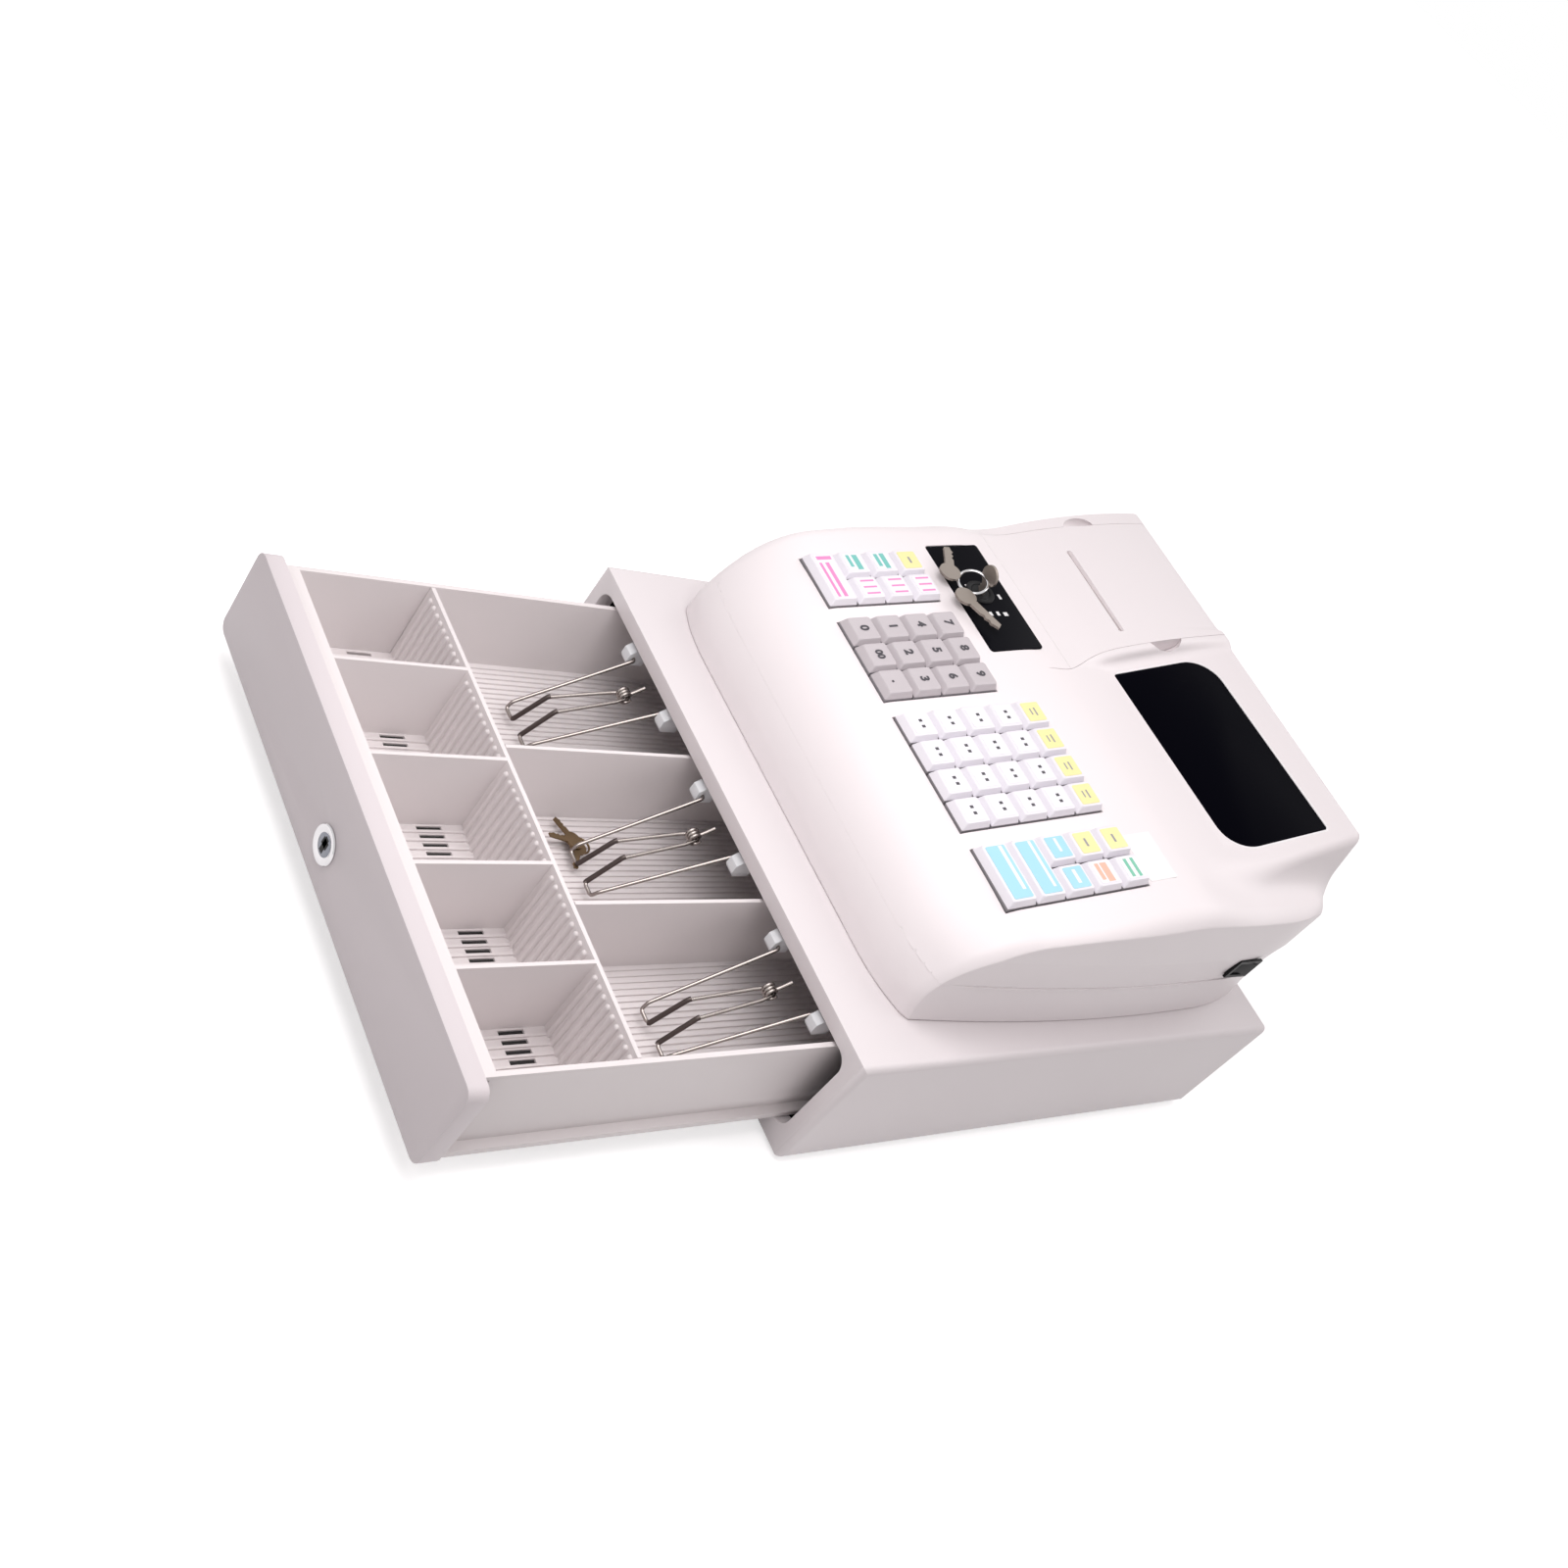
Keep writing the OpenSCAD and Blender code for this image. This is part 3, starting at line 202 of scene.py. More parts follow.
def paint(obj, name):
    """Gives the whole object one material."""
    obj.data.materials.clear()
    obj.data.materials.append(MAT[name])
    return obj


def declare(obj, body, slot=None, nodes=(), material=None):
    """Puts a finished piece on its CAD body, with its material."""
    if material:
        paint(obj, material)
    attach(obj, body)
    if nodes:
        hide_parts(*nodes)


def rejoined(node):
    """Copy of a CAD node, with one face again where a flat face was cut into triangles."""
    def rejoin(bm):
        bmesh.ops.remove_doubles(bm, verts=bm.verts, dist=2e-6)
        bmesh.ops.dissolve_limit(bm, angle_limit=math.radians(1.0), verts=bm.verts, edges=bm.edges)

    obj = link(node + "_finish", frame["nodes"][node].data.copy())
    edit(obj, rejoin)
    return obj


def softened(node, width):
    """Copy of a CAD node with its edges broken."""
    obj = rejoined(node)
    bevel(obj, width)
    smooth(obj, 32)
    return obj


def cut(obj, cutter):
    modify(obj, "BOOLEAN", operation="DIFFERENCE", solver="MANIFOLD", object=cutter)
    bpy.data.objects.remove(cutter)


def join(name, objects):
    """One object from several, each material kept."""
    bm = bmesh.new()
    materials = []
    for o in objects:
        start = len(bm.faces)
        slots = []
        for m in o.data.materials:
            if m not in materials:
                materials.append(m)
            slots.append(materials.index(m))
        bm.from_mesh(o.data)
        bm.faces.ensure_lookup_table()
        for f in bm.faces[start:]:
            f.material_index = slots[f.material_index] if slots else 0
    mesh = bpy.data.meshes.new(name)
    bm.to_mesh(mesh)
    bm.free()
    for m in materials:
        mesh.materials.append(m)
    for o in objects:
        bpy.data.objects.remove(o)
    return link(name, mesh)


def deck_point(x, s, h=0.0):
    """Housing point from a place on the key deck: s up the slope, h out of it."""
    c, t = math.cos(DECK_TILT), math.sin(DECK_TILT)
    return (x, DECK_Y + s * c - h * t, DECK_Z + s * t + h * c)


def deck_s(y):
    """How far up the key deck's slope y is."""
    return (y - DECK_Y) / math.cos(DECK_TILT)


BOX_FACES = [(0, 2, 3, 1), (4, 5, 7, 6), (0, 1, 5, 4), (2, 6, 7, 3), (0, 4, 6, 2), (1, 3, 7, 5)]


def boxes(name, spans, to=None):
    """Boxes between (lo, hi) corner pairs, placed by a function of (x, y, z)."""
    verts, faces = [], []
    for lo, hi in spans:
        base = len(verts)
        corners = [(x, y, z) for z in (lo[2], hi[2]) for y in (lo[1], hi[1]) for x in (lo[0], hi[0])]
        verts += [to(*c) for c in corners] if to else corners
        faces += [tuple(base + i for i in f) for f in BOX_FACES]
    return mesh_object(name, verts, faces)


def rounded_rect(w, l, r, n=5):
    """Points round a rectangle with round corners, centred, anticlockwise."""
    pts = []
    for cx, cy, a0 in ((w / 2 - r, l / 2 - r, 0), (-w / 2 + r, l / 2 - r, 90),
                       (-w / 2 + r, -l / 2 + r, 180), (w / 2 - r, -l / 2 + r, 270)):
        for i in range(n + 1):
            a = math.radians(a0 + 90 * i / n)
            pts.append((cx + r * math.cos(a), cy + r * math.sin(a)))
    return pts


def ring_faces(rings, n, loop=False):
    """Faces through rings of n points: closed by its end rings, or by the last meeting the first."""
    faces = []
    for a in range(rings if loop else rings - 1):
        b = (a + 1) % rings
        for i in range(n):
            j = (i + 1) % n
            faces.append((a * n + i, a * n + j, b * n + j, b * n + i))
    if not loop:
        faces.append(tuple(range(n - 1, -1, -1)))
        faces.append(tuple((rings - 1) * n + i for i in range(n)))
    return faces


def closed_form(name, verts, faces, angle=None):
    """Object with its faces turned outward, smoothed below the angle if one is given."""
    obj = mesh_object(name, verts, faces)
    fix_normals(obj)
    if angle:
        smooth(obj, angle)
    return obj


def loft(name, rings, to=None, angle=None):
    """Skin through rings of (x, y, z) points of equal count."""
    verts = [to(*p) if to else p for ring in rings for p in ring]
    return closed_form(name, verts, ring_faces(len(rings), len(rings[0])), angle)


def prism(name, ring, heights, to=None, angle=None):
    """Skin through one outline of (x, y) points at several heights."""
    return loft(name, [[(x, y, z) for x, y in ring] for z in heights], to, angle)


def lathe(name, profile, origin, axis, angle=None, steps=48):
    """Turned piece: profile of (radius, height) along axis from origin."""
    turn = Vector((0, 0, 1)).rotation_difference(Vector(axis))
    verts = []
    for r, h in profile:
        for i in range(steps):
            a = 2 * math.pi * i / steps
            verts.append(tuple(turn @ Vector((r * math.cos(a), r * math.sin(a), h)) + Vector(origin)))
    return closed_form(name, verts, ring_faces(len(profile), steps), angle)


def tube(name, points, radius, closed=False, bend=0.0, sides=10):
    """Round wire along points in housing millimetres, its corners rounded by bend."""
    pts = [Vector(p) for p in points]
    if bend:
        pts = round_corners(pts, bend)
    n = len(pts)
    verts = []
    up = Vector((0, 0, 1))
    for i, p in enumerate(pts):
        a = pts[(i - 1) % n] if closed or i > 0 else p
        b = pts[(i + 1) % n] if closed or i < n - 1 else p
        t = (b - a).normalized()
        side = t.cross(up)
        if side.length < 0.2:
            side = t.cross(Vector((1, 0, 0)))
        side.normalize()
        if i and side.dot(last) < 0:
            side = -side
        last = side
        other = t.cross(side).normalized()
        for k in range(sides):
            ang = 2 * math.pi * k / sides
            verts.append(tuple(p + radius * (math.cos(ang) * side + math.sin(ang) * other)))
    return closed_form(name, verts, ring_faces(n, sides, closed), 50)


def round_corners(pts, r, n=5):
    """Points with each corner drawn as a curve that starts r before it."""
    out = [pts[0]]
    for before_it, p, after_it in zip(pts, pts[1:], pts[2:]):
        a, b = before_it - p, after_it - p
        d = min(r, a.length * 0.45, b.length * 0.45)
        s, e = p + a.normalized() * d, p + b.normalized() * d
        for k in range(n + 1):
            t = k / n
            out.append(s * (1 - t) ** 2 + p * 2 * t * (1 - t) + e * t ** 2)
    return out + [pts[-1]]


# ---- Materials ----

def principled(name, color, rough, metal=0.0, coat=0.0, coat_rough=0.05, spec=0.5):
    mat = bpy.data.materials.new(name)
    mat.use_nodes = True
    values = {"Base Color": (*color, 1.0), "Roughness": rough, "Metallic": metal, "Coat Weight": coat,
              "Coat Roughness": coat_rough, "Specular IOR Level": spec}
    for socket, value in values.items():
        mat.node_tree.nodes["Principled BSDF"].inputs[socket].default_value = value
    return mat


def object_noise(mat, scale):
    """Noise in object space."""
    nodes = mat.node_tree.nodes
    noise = nodes.new("ShaderNodeTexNoise")
    noise.inputs["Scale"].default_value = scale
    mat.node_tree.links.new(nodes.new("ShaderNodeTexCoord").outputs["Object"], noise.inputs["Vector"])
    return noise


def grained(mat, scale, strength):
    """Fine grain from a noise bump."""
    nodes, links = mat.node_tree.nodes, mat.node_tree.links
    noise = object_noise(mat, scale)
    noise.inputs["Detail"].default_value = 4.0
    bump = nodes.new("ShaderNodeBump")
    bump.inputs["Strength"].default_value = strength
    bump.inputs["Distance"].default_value = 0.0002
    links.new(noise.outputs["Fac"], bump.inputs["Height"])
    links.new(bump.outputs["Normal"], nodes["Principled BSDF"].inputs["Normal"])


def varied_rough(mat, low, high, scale):
    """Roughness that wanders a little, as handled surfaces do."""
    nodes, links = mat.node_tree.nodes, mat.node_tree.links
    spread = nodes.new("ShaderNodeMapRange")
    spread.inputs["To Min"].default_value = low
    spread.inputs["To Max"].default_value = high
    links.new(object_noise(mat, scale).outputs["Fac"], spread.inputs["Value"])
    links.new(spread.outputs["Result"], nodes["Principled BSDF"].inputs["Roughness"])


# Colour, roughness, and what differs from a bare matt plastic
MATERIALS = {
    "case_plastic": ((0.84, 0.79, 0.80), 0.42, dict(spec=0.45)),
    "housing_plastic": ((0.745, 0.70, 0.71), 0.46, dict(spec=0.4)),
    # Drawer front: the housing's plastic darkened, painted shade for its upright face that turns from
    # the light
    "drawer_front_plastic": ((0.65, 0.60, 0.615), 0.48, dict(spec=0.4)),
    "tray_plastic": ((0.76, 0.715, 0.715), 0.5, dict(spec=0.35)),
    "feet_rubber": ((0.02, 0.02, 0.02), 0.7, {}),
    "zinc_steel": ((0.55, 0.56, 0.58), 0.32, dict(metal=1.0)),
    "clip_block_plastic": ((0.78, 0.80, 0.82), 0.3, {}),
    "clip_wire": ((0.38, 0.34, 0.32), 0.26, dict(metal=1.0)),
    # Dark metal for the presser bars: painted reflection and shadow of the clip wire
    "wire_dark": ((0.10, 0.08, 0.075), 0.35, dict(metal=0.8)),
    "lock_plug_metal": ((0.20, 0.21, 0.24), 0.25, dict(metal=0.9)),
    "lock_chrome": ((0.62, 0.61, 0.62), 0.14, dict(metal=1.0)),
    "circuit_board": ((0.02, 0.16, 0.05), 0.35, {}),
    "black_gloss": ((0.004, 0.004, 0.006), 0.3, dict(spec=0.02)),
    "window_black": ((0.002, 0.002, 0.004), 0.3, dict(spec=0.006)),
    "rim_white": ((0.90, 0.88, 0.89), 0.4, {}),
    # Painted shade for the depth of the paper slot
    "slot_shade": ((0.50, 0.44, 0.44), 0.7, {}),
    # Near black painted shade, for faces seen only in the dark inside the housing and under the keys
    "inside_shade": ((0.018, 0.017, 0.017), 0.9, dict(spec=0.1)),
    "key_nickel": ((0.30, 0.26, 0.23), 0.42, dict(metal=0.75)),
    "key_brass": ((0.17, 0.115, 0.065), 0.4, dict(metal=0.9)),
    "roller_rubber": ((0.03, 0.03, 0.03), 0.6, {}),
    "paper": ((0.85, 0.85, 0.84), 0.7, {}),
    "switch_black": ((0.012, 0.012, 0.013), 0.4, dict(spec=0.1)),
    "key_white": ((0.80, 0.775, 0.825), 0.3, dict(coat=0.2, coat_rough=0.15)),
    # Painted shade for the key skirts down in the gaps between keys
    "key_shade": ((0.24, 0.225, 0.24), 0.5, {}),
    "key_grey": ((0.52, 0.48, 0.50), 0.42, {}),
    "label_white": ((0.84, 0.825, 0.875), 0.3, dict(coat=0.3)),
    "key_pink": ((0.84, 0.24, 0.52), 0.3, dict(coat=0.3)),
    "key_teal": ((0.16, 0.52, 0.47), 0.3, dict(coat=0.3)),
    "key_yellow": ((0.86, 0.80, 0.36), 0.3, dict(coat=0.4)),
    "key_blue": ((0.36, 0.68, 0.78), 0.3, dict(coat=0.3)),
    "key_orange": ((0.88, 0.44, 0.32), 0.3, dict(coat=0.3)),
    "key_green": ((0.14, 0.50, 0.34), 0.3, dict(coat=0.3)),
    "legend_ink": ((0.05, 0.045, 0.055), 0.5, {}),
    "faint_ink": ((0.30, 0.30, 0.32), 0.5, {}),
    # Near black painted shade, for holes and slots that look into the dark
    "gap_shade": ((0.015, 0.014, 0.014), 0.8, {}),
    "white_mark": ((0.75, 0.75, 0.75), 0.5, {}),
    "sticker": ((0.86, 0.85, 0.85), 0.45, {}),
}

# Scale and strength of the moulded or brushed grain
GRAIN = {
    "case_plastic": (900, 0.12), "housing_plastic": (900, 0.14), "drawer_front_plastic": (900, 0.14),
    "tray_plastic": (700, 0.12), "zinc_steel": (500, 0.06), "clip_wire": (800, 0.08),
    "key_nickel": (300, 0.1), "switch_black": (900, 0.1), "key_grey": (900, 0.1),
}
WORN = {"case_plastic": (0.38, 0.46, 12), "housing_plastic": (0.42, 0.50, 10)}


def make_materials():
    mats = {name: principled(name, color, rough, **rest)
            for name, (color, rough, rest) in MATERIALS.items()}
    for name, values in GRAIN.items():
        grained(mats[name], *values)
    for name, values in WORN.items():
        varied_rough(mats[name], *values)
    return mats


MAT = make_materials()


# ---- Fields: smooth forms as signed distances in millimetres, turned into meshes ----

# Flanks: how far they bow, and where they are widest
SIDE_BOW = 10.0
WIDEST_Y = BODY_Y + 0.55 * (BODY_REAR - BODY_Y)
WAIST_IN, WAIST_H = 2.0, 50.0
# Cut corners: the plane's slopes in x and y, and the half width where it meets the front or rear
FRONT_CORNER = (0.305, 0.952, 113.4)
REAR_CORNER = (0.916, 0.4016, 128.8)
DECK_CORNER = (0.82, 0.572, 121.0)
NOSE_R, DECK_REAR_R = 46.0, 32.0
DISPLAY_X, DISPLAY_LEAN = 113.5, 0.20
# Printer hump: where its curve leaves the deck, its slope there and how fast that slope falls
HUMP_Y, HUMP_Z = 258.5, 174.4
HUMP_SLOPE, HUMP_FALL, HUMP_LEAN = 0.38, 0.00138, 0.014
HUMP_LEFT = -147.6
# Finger scoops: centre and radii
SCOOPS = (((SEAM_X - 1.0, 294.0, 184.8), (7.0, 13.0, 8.0)),
          ((-138.6, 287.0, 185.0), (6.6, 13.0, 5.5)))
BAY = ((-90.0, 37.5), (271.0, 49.0))    # printer bay: middle and half size in x and y


def round_max(a, b, r):
    """Meeting of two solids with an outer edge of radius r."""
    u, v = np.maximum(a + r, 0.0), np.maximum(b + r, 0.0)
    return np.minimum(np.maximum(a, b), -r) + np.sqrt(u * u + v * v)


def soft_max(a, b, k):
    h = np.maximum(k - np.abs(a - b), 0.0) / k
    return np.maximum(a, b) + h * h * k * 0.25


def soft_min(a, b, k):
    return -soft_max(-a, -b, k)


def step(lo, hi, v):
    t = np.clip((v - lo) / (hi - lo), 0.0, 1.0)
    return t * t * (3 - 2 * t)


def side_x(y):
    """Half the body's width at y."""
    return HALF_BODY - SIDE_BOW * ((y - WIDEST_Y) / (WIDEST_Y - BODY_Y)) ** 2


def corner(plane, ax, past):
    """A corner cut off at a slant; past is the distance beyond the front or the rear."""
    return plane[0] * (ax - plane[2]) + plane[1] * past


def waist(z):
    """Hollow of the upright flanks between the base and the deck's edge."""
    return WAIST_IN * np.sin(np.clip((z - HOUSE_H) / WAIST_H, 0.0, 1.0) * math.pi)


def upright(x, y, z):
    """Upright sides of the body, with the corners cut off."""
    ax = np.abs(x)
    flank = soft_max(ax - side_x(y), corner(REAR_CORNER, ax, y - BODY_REAR), 12.0) + waist(z)
    front = soft_max(BODY_Y - y, corner(FRONT_CORNER, ax, BODY_Y - y), 3.0)
    return soft_max(soft_max(flank, front, 1.2), y - BODY_REAR, 5.0)


def behind(y):
    """0 on the key deck, 1 towards the rear."""
    return step(200, 250, y)


def level_deck(x, y, z):
    """The level apron behind the keys, falling a little towards the flanks."""
    return z - LEVEL_Z + 3.0 * step(104, 124, np.abs(x)) * behind(y)


def rolled(x, y, z):
    """Key deck and apron, rolled over at the nose, the sides and the rear."""
    ax = np.abs(x)
    deck = (z - DECK_Z - math.tan(DECK_TILT) * (y - DECK_Y)) * math.cos(DECK_TILT)
    top = soft_max(deck, level_deck(x, y, z), 3.0)
    front_corner = corner(FRONT_CORNER, ax, BODY_Y - y) - 0.3 * step(80, 128, ax)
    f = round_max(top, soft_max(BODY_Y - y, front_corner, 6.0), NOSE_R)
    f = round_max(f, ax - side_x(y) - 4.0 - 3.0 * behind(y), 11.0 + 6.0 * step(110, 180, y))
    f = round_max(f, y - BODY_REAR - 0.5, DECK_REAR_R)
    return soft_max(f, corner(DECK_CORNER, ax, y - BODY_REAR), 10.0)


def body_field(x, y, z):
    """Rolled top whose edge is cut crisply by the upright sides."""
    return soft_max(rolled(x, y, z), upright(x, y, z), 0.5)


def display_field(x, y, z):
    """Raised display housing with its sloping window face; its rear edge is rounder to the right."""
    rise = z - LEVEL_Z - math.tan(WINDOW_TILT) * (y - WINDOW_Y)
    right = (x - DISPLAY_X - (190.0 - z) * DISPLAY_LEAN) * 0.98
    f = round_max(rise * math.cos(WINDOW_TILT), right, 5.0)
    rear_r = 3.0 + 5.5 * np.clip((x + 45.0) / 150.0, 0.0, 1.0)
    return round_max(f, y - BODY_REAR + 0.2, rear_r)


def hump_field(x, y, z):
    """Printer cover: one curve that leaves the deck gently and flattens towards the rear."""
    t = np.minimum(y, HINGE[0]) - HUMP_Y
    lean = HUMP_LEAN * np.maximum(SEAM_X - x, 0.0)
    top = (z - HUMP_Z - HUMP_SLOPE * t + HUMP_FALL * t * t - lean) * 0.95
    return round_max(top, y - BODY_REAR + 0.2, 3.5)


def whole_field(x, y, z):
    """Body with the display housing and the printer hump grown out of it."""
    d = np.maximum(display_field(x, y, z), SEAM_X - 1.0 - x)
    f = soft_min(body_field(x, y, z), d, 2.2 + 12.0 * step(96, 114, x))
    h = soft_max(hump_field(x, y, z), x - SEAM_X - 5.0, 4.0)
    f = soft_min(f, h, 7.0)
    end = soft_max(HUMP_LEFT - x, y - BODY_REAR, 6.0)
    share = step(138, 156, z) * step(215, 262, y) * (x < 0)
    return np.maximum(f, upright(x, y, z) * (1 - share) + end * share)


def seam_x(y):
    """The seam between the printer cover and the display housing."""
    return SEAM_X + 14.0 * (1 - step(206, 262, y)) ** 1.5


def cover_side(x, y):
    """Negative where the printer cover is, seen from above. Its left edge runs straight at the
    rear, so that the cover clears the cheek when it swings up."""
    cheek = 6.8 - side_x(np.minimum(y, 292.0)) - 0.2 * step(240, 270, y) - x
    return np.maximum(np.maximum(x - seam_x(y), COVER_FRONT - y), cheek)


def scoops(x, y, z):
    """Finger scoops in the case beside the cover's two ends; negative inside them."""
    out = np.inf
    for (cx, cy, cz), (rx, ry, rz) in SCOOPS:
        q = np.sqrt(((x - cx) / rx) ** 2 + ((y - cy) / ry) ** 2 + ((z - cz) / rz) ** 2)
        out = np.minimum(out, (q - 1.0) * min(rx, rz))
    return out


def from_hinge(y, z):
    """Distance from the cover's hinge line."""
    return np.sqrt((y - HINGE[0]) ** 2 + (z - HINGE[1]) ** 2)


def case_solid(x, y, z):
    """Upper case without the cover's place."""
    f = np.maximum(whole_field(x, y, z), SEAM_LINE - z)
    bed = np.maximum(cover_side(x, y) - 0.2, -2.2 - level_deck(x, y, z))
    trough = np.maximum(from_hinge(y, z) - TROUGH_R, cover_side(x, y) - 0.2)
    bay = np.maximum(np.abs(x - BAY[0][0]) - BAY[0][1], np.abs(y - BAY[1][0]) - BAY[1][1])
    bay = np.maximum(bay, SEAM_Z + 3 - z)
    for hollow in (bed, scoops(x, y, z), trough, bay):
        f = np.maximum(f, -hollow)
    return f


def lower_solid(x, y, z):
    """Lower case, with a fine ledge along the flanks under the seam."""
    lip = 0.5 * step(SEAM_LINE - 2.5, SEAM_LINE - 0.5, z) * step(52, 75, y)
    f = round_max(body_field(x, y, z) - lip, HOUSE_H + 0.1 - z, 1.3)
    return np.maximum(f, z - SEAM_LINE)


def cover_solid(x, y, z):
    """Printer cover: a thin apron and a hollow hump."""
    outline = cover_side(x, y)
    shell = np.maximum(np.maximum(whole_field(x, y, z), outline), -2.0 - level_deck(x, y, z))
    knuckle = from_hinge(y, z) - HINGE_R
    shell = np.where(y > HINGE[0], np.maximum(shell, np.where(z < HINGE[1], knuckle, -1e3)), shell)
    inner = np.maximum(hump_field(x, y, z) + 2.4, outline + 2.4)
    inner = np.maximum(inner, y - BODY_REAR + 3.1)
    slot = round_max(np.abs(x - SLOT[0]) - SLOT[2] / 2, np.abs(y - SLOT[1]) - SLOT_HALF, 1.2)
    slot = np.maximum(slot, 168 - z)
    return np.maximum(np.maximum(shell, -inner), -slot)


CORNERS = [(i, j, k) for i in (0, 1) for j in (0, 1) for k in (0, 1)]
PAIRS = ((0, 0), (0, 1), (0, 2), (1, 1), (1, 2), (2, 2))


def skin(name, field, lo, hi, h):
    """Mesh of a field's zero surface. Each point is fitted to the planes of the crossings round
    its cell, so that creases stay sharp."""
    origin = np.array(lo, dtype=float)
    shape = [int(math.ceil((hi[i] - lo[i]) / h)) + 1 for i in range(3)]
    axes = [origin[i] + h * np.arange(shape[i]) for i in range(3)]
    gx, gy, gz = np.meshgrid(*axes, indexing="ij", sparse=True)
    f = np.ascontiguousarray(np.broadcast_to(field(gx, gy, gz), shape))
    inside = f < 0
    cells = [n - 1 for n in shape]
    count = np.zeros(cells, dtype=np.int8)
    for c in CORNERS:
        count += inside[c[0]:c[0] + cells[0], c[1]:c[1] + cells[1], c[2]:c[2] + cells[2]]
    idx = np.argwhere((count > 0) & (count < 8))
    vid = np.full(cells, -1, dtype=np.int64)
    vid[idx[:, 0], idx[:, 1], idx[:, 2]] = np.arange(len(idx))
    sums = plane_sums(field, f, inside, vid, origin, h, len(idx))
    verts = fitted(sums, origin + (idx + 0.5) * h, h)
    return mesh_object(name, verts, net_faces(inside, vid))


def plane_sums(field, f, inside, vid, origin, h, n):
    """Per cell: count, mean and normal products of the surface's crossings of its edges."""
    sums = np.zeros((13, n))
    for ax in range(3):
        where = np.argwhere(np.diff(inside, axis=ax))
        end = where.copy()
        end[:, ax] += 1
        fa, fb = f[tuple(where.T)], f[tuple(end.T)]
        p = origin + where * h
        p[:, ax] += h * crossing(field, p, ax, h, fa, fb)
        g = gradient(field, p, 0.06)
        d = (g * p).sum(axis=1)
        parts = [np.ones(len(p)), p[:, 0], p[:, 1], p[:, 2]]
        parts += [g[:, i] * g[:, j] for i, j in PAIRS]
        parts += [g[:, i] * d for i in range(3)]
        for cell in cells_round(where, ax):
            ok = ((cell >= 0) & (cell < np.array(vid.shape))).all(axis=1)
            k = vid[tuple(cell[ok].T)]
            for i, part in enumerate(parts):
                sums[i] += np.bincount(k, weights=part[ok], minlength=n)
    return sums


def cells_round(where, ax):
    """The four cells round each grid edge along an axis, in turn."""
    for du, dv in ((-1, -1), (0, -1), (0, 0), (-1, 0)):
        cell = where.copy()
        cell[:, (ax + 1) % 3] += du
        cell[:, (ax + 2) % 3] += dv
        yield cell


def crossing(field, p, ax, h, fa, fb):
    """Where the field is zero along each grid edge, as a share of the edge."""
    lo, hi = np.zeros(len(fa)), np.ones(len(fa))
    for _ in range(4):
        t = lo + (hi - lo) * np.clip(fa / (fa - fb), 0.05, 0.95)
        q = p.copy()
        q[:, ax] += t * h
        value = field(q[:, 0], q[:, 1], q[:, 2])
        near = (value < 0) == (fa < 0)
        lo, fa = np.where(near, t, lo), np.where(near, value, fa)
        hi, fb = np.where(near, hi, t), np.where(near, fb, value)
    return lo + (hi - lo) * np.clip(fa / np.where(fa == fb, 1.0, fa - fb), 0.0, 1.0)


def fitted(sums, centre, h):
    """Point of each cell that lies nearest to all the planes of its crossings."""
    n = np.maximum(sums[0], 1.0)
    mean = (sums[1:4] / n).T
    a = np.empty((len(n), 3, 3))
    for value, (i, j) in zip(sums[4:10], PAIRS):
        a[:, i, j] = value
        a[:, j, i] = value
    b = sums[10:13].T - np.einsum("nij,nj->ni", a, mean)
    a += 0.03 * n[:, None, None] * np.eye(3)
    move = np.linalg.solve(a, b[:, :, None])[:, :, 0]
    return np.clip(mean + move, centre - 0.55 * h, centre + 0.55 * h)


def net_faces(inside, vid):
    """One quad for each grid edge that crosses the surface."""
    faces = []
    for ax in range(3):
        where = np.argwhere(np.diff(inside, axis=ax))
        inner = (where > 0) & (where < np.array(inside.shape) - 1)
        inner[:, ax] = True
        where = where[inner.all(axis=1)]
        quad = np.stack([vid[tuple(cell.T)] for cell in cells_round(where, ax)], axis=1)
        out = inside[tuple(where.T)]
        quad[~out] = quad[~out][:, ::-1]
        faces.append(quad)
    return np.concatenate(faces)


def gradient(field, p, e=0.12):
    """Unit normals of the field at points, from differences over 2 e."""
    g = np.empty_like(p)
    for i in range(3):
        d = np.zeros(3)
        d[i] = e
        a, b = p + d, p - d
        g[:, i] = (field(a[:, 0], a[:, 1], a[:, 2]) - field(b[:, 0], b[:, 1], b[:, 2])) / (2 * e)
    return g / np.maximum(np.linalg.norm(g, axis=1, keepdims=True), 1e-6)


def column(items, key, kind=float, width=1):
    """One value of each vertex, corner or face of a mesh."""
    values = np.empty(len(items) * width, dtype=kind)
    items.foreach_get(key, values)
    return values.reshape(-1, width) if width > 1 else values


def shade_from(obj, field):
    """Face-corner normals from the field where the face lies on it, flat elsewhere."""
    mesh = obj.data
    co = (column(mesh.vertices, "co", width=3) - np.array([0.0, OY, OZ])) / MM
    fn = column(mesh.polygons, "normal", width=3)
    total = column(mesh.polygons, "loop_total", np.int64)
    face = np.repeat(np.arange(len(total)), total)
    pts = co[column(mesh.loops, "vertex_index", np.int64)]
    centre = np.zeros((len(total), 3))
    np.add.at(centre, face, pts)
    inward = (centre / total[:, None])[face] - pts
    reach = np.clip(0.35 / np.maximum(np.linalg.norm(inward, axis=1), 1e-6), 0.3, 0.5)
    g = gradient(field, pts + inward * reach[:, None])
    near = (g * fn[face]).sum(axis=1) > 0.80
    normals = np.where(near[:, None], g, fn[face])
    mesh.shade_smooth()
    mesh.normals_split_custom_set([tuple(v) for v in normals])


# ---- Register body ----

def field_piece(name, field, lo, hi, cell):
    """Skin of a field."""
    return skin(name, field, lo, hi, cell)


